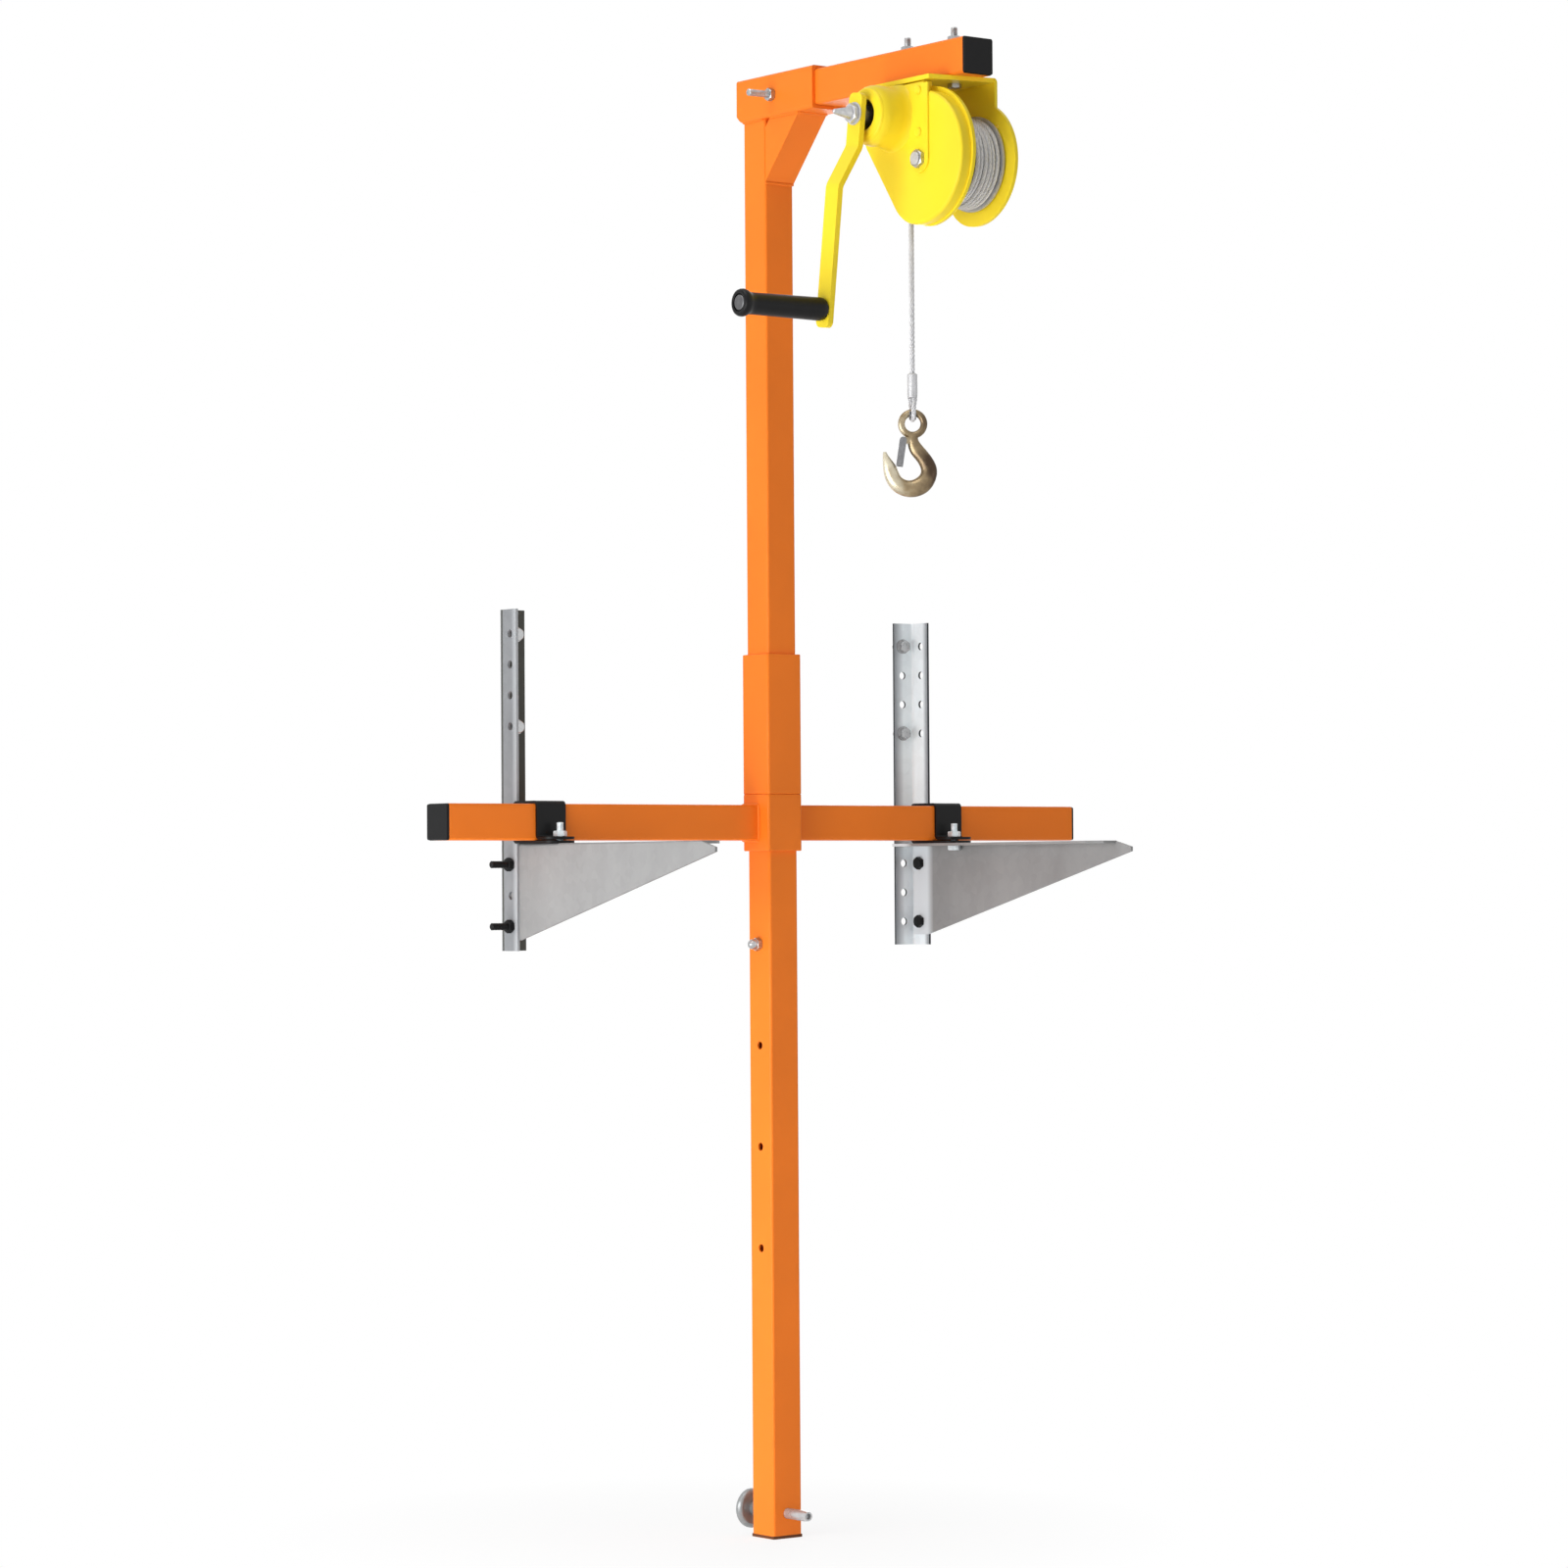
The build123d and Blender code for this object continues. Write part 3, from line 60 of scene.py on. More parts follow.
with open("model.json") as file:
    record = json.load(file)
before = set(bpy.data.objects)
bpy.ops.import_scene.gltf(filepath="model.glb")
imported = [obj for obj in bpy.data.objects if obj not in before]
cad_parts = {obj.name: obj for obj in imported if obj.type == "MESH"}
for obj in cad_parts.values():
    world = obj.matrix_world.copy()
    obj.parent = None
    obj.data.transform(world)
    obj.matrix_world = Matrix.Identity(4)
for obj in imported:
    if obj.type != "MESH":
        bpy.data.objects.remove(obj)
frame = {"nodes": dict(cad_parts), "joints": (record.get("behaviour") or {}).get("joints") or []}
cad_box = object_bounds()
nodes = frame["nodes"]
joints = {joint["name"]: joint for joint in frame["joints"]}

MM = 0.001
LEFT = (-1, 0, 0)
RIGHT = (1, 0, 0)
TO_WALL = (0, 1, 0)
FROM_WALL = (0, -1, 0)
DOWN = (0, 0, -1)
UP = (0, 0, 1)


def box_mm(name):
    """Lowest and highest corner of a CAD node in millimetres, rounded to thousandths."""
    return [Vector([round(value / MM, 3) for value in corner]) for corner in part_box(name)]


def middle_mm(name):
    """Middle of a CAD node in millimetres."""
    low, high = box_mm(name)
    return (low + high) / 2


def right_end(name, inset=0):
    """Middle of a CAD node's right side, or a spot that far inside it, in millimetres."""
    middle = middle_mm(name)
    return (box_mm(name)[1].x - inset, middle.y, middle.z)


def tone(red, green, blue):
    """Linear colour of a screen colour."""
    steps = [value / 255 for value in (red, green, blue)]
    return [s / 12.92 if s <= 0.04045 else ((s + 0.055) / 1.055) ** 2.4 for s in steps]


def colour(name, description, red, green, blue):
    """Colour property with a screen colour as its default."""
    return FloatVectorProperty(
        name=name, description=description, subtype="COLOR", size=3, min=0, max=1,
        default=tone(red, green, blue),
    )


def length(name, description, millimetres):
    """Length property with its default in millimetres."""
    return FloatProperty(
        name=name, description=description, unit="LENGTH", precision=4, default=millimetres * MM
    )


def power(name, description, watts):
    """Power property of a lamp."""
    return FloatProperty(name=name, description=description, unit="POWER", default=watts)


# Values that a user may change
class HoistPaint(bpy.types.PropertyGroup):
    """Colours and grain of the painted and moulded pieces"""

    orange: colour("Orange", "Powder coat of the mast, arms and boom", 252, 129, 36)
    yellow: colour("Yellow", "Enamel of the winch and its crank", 253, 224, 48)
    black: colour("Black", "Coating of the straps and bracket bolts", 11, 11, 12)
    plastic: colour("Plastic", "Moulded caps and grip", 12, 12, 13)
    # Plug in the foot of the post, its dark brown painted as the shade of the post's bottom edge
    plug: colour("Plug", "Moulded plug in the foot of the post, painted brown as shade", 88, 52, 28)
    peel: length("Orange peel", "Width of the ripples in the powder coat", 1.6)
    edge: length("Edge", "Rounding that the coat gives to sharp edges", 0.5)


class HoistMetal(bpy.types.PropertyGroup):
    """Colours of the bare and plated metal"""

    galvanised: colour("Galvanised", "Zinc bath of the bracket plates", 147, 147, 147)
    # Painted light: the right upright and the strap bolts are a lighter, lit copy of the zinc
    lit_zinc: colour("Lit zinc", "Right upright and the strap bolts, painted lighter as lit", 238, 246, 251)
    # Painted shade: the left upright is a darker, shaded copy of the zinc
    shaded_zinc: colour("Shaded zinc", "Left upright, painted darker as shaded", 136, 138, 141)
    # Painted shade on the left upright along the wall
    wall_shade_zinc: colour("Wall shade", "Painted shade on the left upright along the wall", 74, 75, 70)
    # Painted highlight on the front edge of the left upright
    edge_highlight_zinc: colour("Edge highlight", "Painted highlight on the front edge of the left upright", 168, 171, 174)
    # Painted shade along the outer edges of the right upright
    darker_zinc: colour("Edge shade", "Painted shade on the outer edges of the right upright", 158, 163, 168)
    # Painted shade in the holes and along the flange edges of the right upright
    cut: colour("Hole shade", "Painted shade in the holes and along the flange edges of the right upright", 52, 56, 60)
    lapped: colour("Lapped zinc", "Right plate where it lies on the upright", 216, 222, 226)
    spangle: length("Spangle", "Width of the zinc crystals", 9)
    zinc: colour("Zinc", "Plating of the bolts and nuts", 182, 183, 184)
    bright: colour("Bright", "Foot screw and the shaft of the crank", 196, 196, 197)
    pad: colour("Pad", "Polished foot pad", 156, 159, 160)
    dark: colour("Dark", "Oiled steel of the gears", 112, 112, 114)
    bronze: colour("Bronze", "Bearing bushes", 168, 128, 74)
    # Painted highlight: the hook is pale on its lit side
    pale: colour("Pale gold", "Painted highlight on the lit side of the hook, at its tip", 222, 214, 190)
    gold: colour("Gold", "Passivated hook", 152, 133, 102)
    # Painted shade: the hook is brown on its shaded side
    brown: colour("Brown", "Painted shade on the shaded side of the hook, at its back", 74, 58, 44)
    lining: colour("Lining", "Brake linings", 54, 50, 46)
    alloy: colour("Alloy", "Pressed ferrule, drum and crank nut", 198, 198, 200)
    sheet: colour("Sheet", "Latch and thimble", 138, 138, 140)


class HoistRope(bpy.types.PropertyGroup):
    """Wire rope"""

    strands: IntProperty(name="Strands", description="Strands around the core", default=6, min=3)
    lay: length("Lay", "Length in which a strand goes round once", 30)
    slack: length("Slack", "How much deeper loose turns sit on the drum", 1.8)
    swell: length("Swell", "How much fuller the hanging rope is than a tight one", 0.9)
    steel: colour("Steel", "Colour of the wire", 224, 224, 226)


class HoistStage(bpy.types.PropertyGroup):
    """Camera, lamps and floor"""

    lens: FloatProperty(name="Lens", description="Focal length in millimetres", default=111.63)
    key: power("Key", "Power of the large lamp", 56)
    low: power("Low", "Power of the lamp near the foot", 5.5)
    fill: power("Fill", "Power of the front lamp", 9)
    back: power("Back", "Power of the lamp behind", 40)
    top: power("Top", "Power of the lamp overhead", 30)
    ambient: FloatProperty(name="Ambient", description="Light from all around", default=0.35)
    floor: colour("Floor", "Pale floor", 252, 252, 252)


# Nodes that the materials are made of
def feed(tree, node, values):
    """Give sockets of a node, by name or number, a fixed value or a link."""
    for name, value in values.items():
        if isinstance(value, bpy.types.NodeSocket):
            tree.links.new(value, node.inputs[name])
        else:
            node.inputs[name].default_value = value


def add_node(tree, kind, values, **settings):
    """New node with its settings, fed with its values."""
    node = tree.nodes.new("ShaderNode" + kind)
    for name, setting in settings.items():
        setattr(node, name, setting)
    feed(tree, node, values)
    return node


def start_material(name, base, metallic, roughness, gloss=0.5):
    """New material: its tree, its shader and the object's own coordinates."""
    material = bpy.data.materials.new(name)
    material.use_nodes = True
    tree = material.node_tree
    shader = tree.nodes["Principled BSDF"]
    feed(tree, shader, {"Base Color": (*base, 1), "Metallic": metallic})
    feed(tree, shader, {"Roughness": roughness, "Specular IOR Level": gloss})
    place = add_node(tree, "TexCoord", {}).outputs["Object"]
    return material, tree, shader, place


def mixed(tree, share, first, second):
    """Mix of two colours, by the share of the second."""
    values = {"Factor": share, "A": first, "B": second}
    return add_node(tree, "Mix", values, data_type="RGBA").outputs["Result"]


def share_between(tree, value, start, end):
    """How far a value has come from start to end."""
    values = {"Value": value, "From Min": start, "From Max": end}
    return add_node(tree, "MapRange", values).outputs["Result"]


def noise(tree, place, width, detail=3.0, stretch=(1, 1, 1)):
    """Noise whose blots are about that wide, stretched along the axes."""
    spot = add_node(tree, "Mapping", {"Vector": place, "Scale": stretch}).outputs["Vector"]
    values = {"Vector": spot, "Scale": 1 / width, "Detail": detail}
    return add_node(tree, "TexNoise", values).outputs["Fac"]


def ramp(tree, value, stops):
    """Colours or greys along a value."""
    node = add_node(tree, "ValToRGB", {"Fac": value})
    points = node.color_ramp.elements
    while len(points) < len(stops):
        points.new(0.5)
    for point, (position, level) in zip(points, stops):
        point.position = position
        point.color = (*level, 1) if hasattr(level, "__len__") else (level, level, level, 1)
    return node.outputs["Color"]


def follow(tree, shader, socket, value, stops):
    """Let a socket of the shader run through stops along a value."""
    feed(tree, shader, {socket: ramp(tree, value, stops)})


def toned(base, stops):
    """Darker and lighter tones of a colour, as stops of a ramp."""
    return [(position, [min(1.0, part * factor) for part in base]) for position, factor in stops]


def worn(roughness, stops):
    """Smoother and rougher places, as stops of a ramp."""
    return [(position, roughness * factor) for position, factor in stops]


def bump(tree, shader, height, depth, strength, edge=0.0):
    """Relief of that depth, on edges that are rounded by that radius."""
    relief = add_node(tree, "Bump", {"Height": height, "Distance": depth, "Strength": strength})
    if edge:
        bevel = add_node(tree, "Bevel", {"Radius": edge}, samples=4)
        feed(tree, relief, {"Normal": bevel.outputs["Normal"]})
    feed(tree, shader, {"Normal": relief.outputs["Normal"]})


def banded(tree, place, tones, axis, spots, tint):
    """Mix a tint into the tones, fading in and out between four spots along an axis."""
    split = add_node(tree, "SeparateXYZ", {"Vector": place})
    start, full, last, end = spots
    run = share_between(tree, split.outputs[axis], start, end)
    rise, fall = ((spot - start) / (end - start) for spot in (full, last))
    share = ramp(tree, run, [(0, 0), (rise, 1), (fall, 1), (1, 0)])
    return mixed(tree, share, tones, (*tint, 1))


# Paint. Tones and wear run along a noise, and a relief has a depth and a strength
COAT_GLOSS = 0.18
COAT_CLOUDS = 120 * MM
COAT_TONES = ((0.3, 0.94), (0.7, 1.03))
COAT_RELIEF = (0.06 * MM, 0.35)
SCUFF_WIDTH = 4 * MM
SCUFF_STRETCH = (1, 1, 0.15)
SCUFF_SPOTS = (0.70, 0.78)
SCUFF_ROUGH = 0.16


def coat_material(name, base, peel, edge, roughness):
    """Powder coat or enamel: soft ripples, clouds of tone and faint scuffs."""
    material, tree, shader, place = start_material(name, base, 0.0, roughness, COAT_GLOSS)
    clouds = noise(tree, place, COAT_CLOUDS, detail=2.0)
    follow(tree, shader, "Base Color", clouds, toned(base, COAT_TONES))
    scuffs = noise(tree, place, SCUFF_WIDTH, detail=6.0, stretch=SCUFF_STRETCH)
    start, full = SCUFF_SPOTS
    follow(tree, shader, "Roughness", scuffs, [(start, roughness), (full, roughness + SCUFF_ROUGH)])
    bump(tree, shader, noise(tree, place, peel, detail=2.0), *COAT_RELIEF, edge)
    return material


# Galvanised steel
ZINC_METAL = 0.2
ZINC_GLOSS = 0.25
ZINC_RIPPLES = 20 * MM
ZINC_RELIEF = (0.05 * MM, 0.25)
CRYSTAL_TONES = ((0.2, 0.93), (0.8, 1.04))
STREAK_WIDTH = 50 * MM
STREAK_STRETCH = (1, 1, 0.25)
STREAK_TONES = ((0.35, 0.84), (0.65, 1.1))
STREAK_WEAR = ((0.3, 0.85), (0.7, 1.1))
STREAK_SHARE = 0.5


def galvanised_material(name, base, spangle, roughness, bands=()):
    """Galvanised sheet: crystals, pale streaks, and bands of another tint such as painted shade and
    painted highlights.
    """
    material, tree, shader, place = start_material(name, base, ZINC_METAL, roughness, ZINC_GLOSS)
    crystals = add_node(tree, "TexVoronoi", {"Vector": place, "Scale": 1 / spangle})
    streaks = noise(tree, place, STREAK_WIDTH, detail=5.0, stretch=STREAK_STRETCH)
    spangled = ramp(tree, crystals.outputs["Color"], toned(base, CRYSTAL_TONES))
    tones = mixed(tree, STREAK_SHARE, spangled, ramp(tree, streaks, toned(base, STREAK_TONES)))
    for axis, start, band, tint in bands:
        tones = banded(tree, place, tones, axis, [(start + spot) * MM for spot in band], tint)
    feed(tree, shader, {"Base Color": tones})
    follow(tree, shader, "Roughness", streaks, worn(roughness, STREAK_WEAR))
    bump(tree, shader, noise(tree, place, ZINC_RIPPLES), *ZINC_RELIEF)
    return material


# Plated metal
MARK_TONES = ((0.3, 0.82), (0.7, 1.06))
MARK_WEAR = ((0.25, 0.8), (0.8, 1.35))
MARK_RELIEF = (0.03 * MM, 0.3)


def plated_material(name, base, roughness, grain, metallic=1.0):
    """Plated or turned metal with fine marks and cloudy tone."""
    material, tree, shader, place = start_material(name, base, metallic, roughness)
    marks = noise(tree, place, grain, detail=5.0)
    follow(tree, shader, "Base Color", marks, toned(base, MARK_TONES))
    follow(tree, shader, "Roughness", marks, worn(roughness, MARK_WEAR))
    bump(tree, shader, noise(tree, place, grain / 3), *MARK_RELIEF)
    return material


# Plastic
DUST_WIDTH = 20 * MM
DUST_TONES = ((0.35, 1.0), (0.75, 1.6))
DUST_WEAR = ((0.3, 0.9), (0.8, 1.2))
MOULD_RELIEF = (0.04 * MM, 0.4)
MOULD_EDGE = 0.4 * MM


def moulded_material(name, base, roughness, grain):
    """Moulded plastic or a black coat, with a fine grain."""
    material, tree, shader, place = start_material(name, base, 0.0, roughness, COAT_GLOSS)
    dust = noise(tree, place, DUST_WIDTH, detail=5.0)
    follow(tree, shader, "Base Color", dust, toned(base, DUST_TONES))
    follow(tree, shader, "Roughness", dust, worn(roughness, DUST_WEAR))
    bump(tree, shader, noise(tree, place, grain, detail=2.0), *MOULD_RELIEF, MOULD_EDGE)
    return material


# Forged steel, whose three colours lie from side to side: pale as painted highlight on one side, brown as
# painted shade on the other
FORGED_METAL = 0.75
FORGED_ROUGH = 0.3
FORGED_LIGHT_SPREAD = 0.8
FORGED_LIGHT_SPOTS = (0.12, 0.5, 0.9)
FORGED_CLOUDS = 20 * MM
FORGED_WEAR = ((0.2, 0.38), (0.8, 0.24))
FORGED_GRAIN = 6 * MM
FORGED_RELIEF = (0.1 * MM, 0.3)


def forged_material(name, colours, middle, across, half):
    """Passivated forging in clouds of tone, with painted light across it: pale gold on its lit side, brown
    on its shaded side.
    """
    material, tree, shader, place = start_material(name, colours[1], FORGED_METAL, FORGED_ROUGH)
    side = add_node(tree, "VectorMath", {0: place, 1: middle}, operation="SUBTRACT").outputs["Vector"]
    values = {0: side, 1: across / (2 * half)}
    reach = add_node(tree, "VectorMath", values, operation="DOT_PRODUCT").outputs["Value"]
    clouds = noise(tree, place, FORGED_CLOUDS, detail=4.0)
    values = {0: reach, 1: FORGED_LIGHT_SPREAD, 2: clouds}
    total = add_node(tree, "Math", values, operation="MULTIPLY_ADD").outputs["Value"]
    follow(tree, shader, "Base Color", total, list(zip(FORGED_LIGHT_SPOTS, colours)))
    follow(tree, shader, "Roughness", clouds, FORGED_WEAR)
    bump(tree, shader, noise(tree, place, FORGED_GRAIN), *FORGED_RELIEF)
    return material


def finish(material, *names):
    """Give CAD nodes a material."""
    for name in names:
        nodes[name].data.materials.clear()
        nodes[name].data.materials.append(material)


# Modelling by hand
MERGE = 0.002 * MM


def mode(name):
    """Change to object mode or edit mode."""
    bpy.ops.object.mode_set(mode=name)


def deselect():
    """Leave edit mode and select nothing."""
    if bpy.context.mode != "OBJECT":
        mode("OBJECT")
    bpy.ops.object.select_all(action="DESELECT")


def select(piece):
    """Select one piece and make it active."""
    deselect()
    piece.select_set(True)
    bpy.context.view_layer.objects.active = piece


def settle():
    """Put the place, turn and size of what is selected into its mesh."""
    bpy.ops.object.transform_apply(location=True, rotation=True, scale=True)


def modify(piece, kind, **settings):
    """Add a modifier with its settings to a piece."""
    select(piece)
    bpy.ops.object.modifier_add(type=kind)
    for name, setting in settings.items():
        setattr(piece.modifiers[-1], name, setting)


def apply_modifiers(piece):
    """Make the modifiers of a piece part of its mesh."""
    select(piece)
    for modifier in list(piece.modifiers):
        bpy.ops.object.modifier_apply(modifier=modifier.name)


def outward(piece, angle=35):
    """Merge doubles, turn the faces outwards and smooth the shallow edges."""
    select(piece)
    mode("EDIT")
    bpy.ops.mesh.select_all(action="SELECT")
    bpy.ops.mesh.remove_doubles(threshold=MERGE)
    bpy.ops.mesh.normals_make_consistent(inside=False)
    mode("OBJECT")
    bpy.ops.object.shade_smooth_by_angle(angle=math.radians(angle))


def turned(name, profile, steps=32, unit=1.0):
    """Piece turned on a lathe from a profile of radius and height, in metres or in a unit."""
    deselect()
    profile = [(radius * unit, height * unit) for radius, height in profile]
    radius, height = profile[0]
    bpy.ops.mesh.primitive_plane_add(size=MM, location=(radius, 0, height))
    piece = bpy.context.object
    piece.name = name
    settle()
    mode("EDIT")
    bpy.ops.mesh.select_mode(type="VERT")
    bpy.ops.mesh.select_all(action="SELECT")
    bpy.ops.mesh.merge(type="CENTER")
    for here, there in zip(profile, profile[1:]):
        move = (there[0] - here[0], 0, there[1] - here[1])
        bpy.ops.mesh.extrude_vertices_move(TRANSFORM_OT_translate={"value": move})
    mode("OBJECT")
    modify(piece, "SCREW", steps=steps, render_steps=steps, use_merge_vertices=True, merge_threshold=MERGE)
    apply_modifiers(piece)
    outward(piece)
    return piece


def cut_away(piece, spot, way):
    """Cut off what lies beyond a plane, and close the cut."""
    select(piece)
    mode("EDIT")
    bpy.ops.mesh.select_all(action="SELECT")
    bpy.ops.mesh.bisect(plane_co=spot, plane_no=way, use_fill=True, clear_outer=True)
    mode("OBJECT")


def put(piece, spot, way):
    """Turn a piece that was made along Z, and move it to a spot in millimetres, in its mesh."""
    select(piece)
    turn = Vector(way).to_track_quat("Z", "Y").to_matrix().to_4x4()
    piece.matrix_world = Matrix.Translation(Vector(spot) * MM) @ turn
    settle()
    return piece


def join(name, pieces):
    """One object from several."""
    select(pieces[0])
    for piece in pieces[1:]:
        piece.select_set(True)
    if len(pieces) > 1:
        bpy.ops.object.join()
    pieces[0].name = name
    pieces[0].data.name = name
    return pieces[0]


def dress(piece, material, slot, body, *replaced):
    """Finish a new piece: its material, its body and the nodes it stands for; the record slot is not used.
    """
    piece.data.materials.clear()
    piece.data.materials.append(material)
    if replaced:
        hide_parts(*replaced)
    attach(piece, body)


# Bolts and nuts in metres, half their widths in millimetres, and shares of their size
M8_RADIUS = 4 * MM
M8_FLATS = 13 * MM
M8_HEAD = 5.3 * MM
M8_NUT = 6.5 * MM
M8_PITCH = 1.25 * MM
M8_TIP = 0.8 * MM
M8_HALF_FLATS = M8_FLATS / MM / 2
M8_HALF_CORNERS = M8_FLATS / MM / math.sqrt(3)
HEX_SPARE = 1.03
HEX_TALL = 1.2
HEX_LAND = 0.47
HEX_SLOPE = math.radians(30)
ROD_SIDES = 24
CUTS_PER_PITCH = 4
THREAD_DEPTH = 0.55
THREAD_SKIN = 0.99


def hexagon(name, flats, thick, both_ends=False):
    """Hexagon on the XY plane with its corners turned off at the top or at both ends."""
    corner = flats / math.sqrt(3)
    reach = corner * HEX_SPARE
    land = flats * HEX_LAND
    fall = (reach - land) * math.tan(HEX_SLOPE)
    low = [(land, 0), (reach, fall)] if both_ends else [(reach, 0)]
    profile = [(0, 0), *low, (reach, thick - fall), (land, thick), (0, thick)]
    barrel = turned("barrel", profile, steps=60)
    deselect()
    bpy.ops.mesh.primitive_cylinder_add(
        vertices=6, radius=corner, depth=thick * HEX_TALL, location=(0, 0, thick / 2)
    )
    piece = bpy.context.object
    piece.name = name
    settle()
    modify(piece, "BOOLEAN", operation="INTERSECT", object=barrel)
    apply_modifiers(piece)
    bpy.data.objects.remove(barrel)
    outward(piece, angle=28)
    return piece


def threaded(name, radius, pitch, low, high, tip):
    """Rod along Z with a cut thread and a chamfered tip."""
    profile = [(0, low), (radius, low), (radius, high - tip), (radius - tip, high), (0, high)]
    rod = turned(name, profile, ROD_SIDES)
    # Rings for the thread
    mode("EDIT")
    bpy.ops.mesh.select_mode(type="EDGE")
    bpy.ops.mesh.select_all(action="DESELECT")
    mode("OBJECT")
    spots = rod.data.vertices
    for edge in rod.data.edges:
        here, there = (spots[index].co for index in edge.vertices)
        edge.select = abs(here.z - there.z) > (high - low) / 2
    mode("EDIT")
    bpy.ops.mesh.subdivide(number_cuts=int((high - low) / pitch * CUTS_PER_PITCH))
    mode("OBJECT")
    # Flanks of the thread
    for spot in (vertex.co for vertex in spots):
        if math.hypot(spot.x, spot.y) > radius * THREAD_SKIN and low < spot.z < high - tip:
            turn = math.atan2(spot.y, spot.x) / (2 * math.pi)
            depth = THREAD_DEPTH * pitch * abs((spot.z / pitch - turn) % 1 * 2 - 1)
            spot.xy *= 1 - depth / radius
    outward(rod)
    return rod


def bolt(grip, stud, nut=M8_NUT):
    """M8 bolt along Z: its head below zero, the length that it clamps, its nut and the free end."""
    pieces = [put(hexagon("head", M8_FLATS, M8_HEAD), (0, 0, 0), DOWN)]
    if nut:
        pieces.append(put(hexagon("nut", M8_FLATS, nut, True), (0, 0, grip / MM), UP))
    pieces.append(threaded("shank", M8_RADIUS, M8_PITCH, -M8_HEAD / 2, grip + nut + stud, M8_TIP))
    return join("bolt", pieces)


def fasten(name, pattern, places, *finishing):
    """Copies of one fastener at several places, joined and dressed."""
    copies = []
    for spot, way in places:
        select(pattern)
        bpy.ops.object.duplicate()
        copies.append(put(bpy.context.object, spot, way))
    bpy.data.objects.remove(pattern)
    dress(join(name, copies), *finishing)


def rows(low, high, half):
    """The two rows of bolts in a box that reaches half a head beyond them."""
    return low + half, high - half


# Welds: length of a ripple in millimetres, and shares of a bead's size
RIPPLE = 1.5
RIPPLE_LOW = 0.88
RIPPLE_HIGH = 1.06
WELD_END = 0.7
WELD_SIDES = 12


def weld(start, end, size):
    """Bead of weld along a corner, with the ripples of its puddle, in millimetres."""
    way = Vector(end) - Vector(start)
    count = int(way.length / RIPPLE)
    profile = [(0, 0)]
    for ring in range(count + 1):
        ends = WELD_END if ring in (0, count) else 1.0
        swell = RIPPLE_LOW if ring % 2 else RIPPLE_HIGH
        profile.append((size * ends * swell, way.length * ring / count))
    profile.append((0, way.length))
    return put(turned("bead", profile, WELD_SIDES, MM), start, way)


# Wire rope
DROP_PARTS = 4
DRUM_TURNS = 8
TURN_POINTS = 24
CROSSING = 0.4
SLACK_RHYTHM = 2.4
SLACK_START = 2.2
LOOP_RADIUS = 7.95 * MM
LOOP_POINTS = 7
LOOP_CORNERS = 8
LOOP_START = 50
LOOP_STEP = 46.7
LEG_SPACE = 0.56
LEG_BEND = 1.2 * MM
LEG_BEND_HEIGHT = 0.8
LEG_BEND_WIDTH = 0.9


def hook_axes():
    """The direction about which the hook swings, and the one across it."""
    front = Vector(joints["hook_swing"]["axis"]).normalized()
    return front, front.cross(Vector(DOWN))


def coil_points(start, axis, pitch, slack):
    """Control points on the drum, whose turns cross over on top, clear of the hanging part."""
    reach = (start.y - axis.y) / math.cos(math.pi / TURN_POINTS)
    points = [start, Vector((start.x, start.y, axis.z))]
    for step in range(1, DRUM_TURNS * TURN_POINTS):
        turn = 2 * math.pi * step / TURN_POINTS
        sunk = reach - slack * max(0, math.sin(turn / SLACK_RHYTHM - SLACK_START)) ** 2
        crossing = min(1.0, step % TURN_POINTS / (CROSSING * TURN_POINTS))
        along = start.x + pitch * (step // TURN_POINTS + crossing)
        points.append(Vector((along, axis.y + sunk * math.cos(turn), axis.z + sunk * math.sin(turn))))
    return points


def loop_points(centre, leg, rise):
    """Control points of the eye: down one leg, round the thimble and up the other leg."""
    front = hook_axes()[0]
    up = Vector(UP)
    ring = LOOP_RADIUS / math.cos(math.pi / LOOP_CORNERS)
    bend = leg * LEG_BEND_WIDTH + front * LEG_BEND
    points = [centre + leg + up * rise, centre + bend + up * rise * LEG_BEND_HEIGHT]
    for step in range(LOOP_POINTS):
        turn = math.radians(LOOP_START - LOOP_STEP * step)
        sway = leg * 0.5 * (1 - step / (LOOP_POINTS // 2))
        points.append(centre + (front * math.cos(turn) + up * math.sin(turn)) * ring + sway)
    points.append(centre - bend + up * rise * LEG_BEND_HEIGHT)
    points.append(centre - leg + up * rise)
    return points


def route_points(points, resolution):
    """Points along a smooth line that is drawn by its control points."""
    line = bpy.data.curves.new("route", "CURVE")
    line.dimensions = "3D"
    spline = line.splines.new("NURBS")
    spline.points.add(len(points) - 1)
    for control, point in zip(spline.points, points):
        control.co = (*point, 1)
    spline.order_u = 3
    spline.use_endpoint_u = True
    spline.resolution_u = resolution
    holder = bpy.data.objects.new("route", line)
    bpy.context.scene.collection.objects.link(holder)
    bpy.context.view_layer.update()
    mesh = bpy.data.meshes.new_from_object(holder)
    found = [vertex.co.copy() for vertex in mesh.vertices]
    bpy.data.objects.remove(holder)
    bpy.data.curves.remove(line)
    bpy.data.meshes.remove(mesh)
    return found


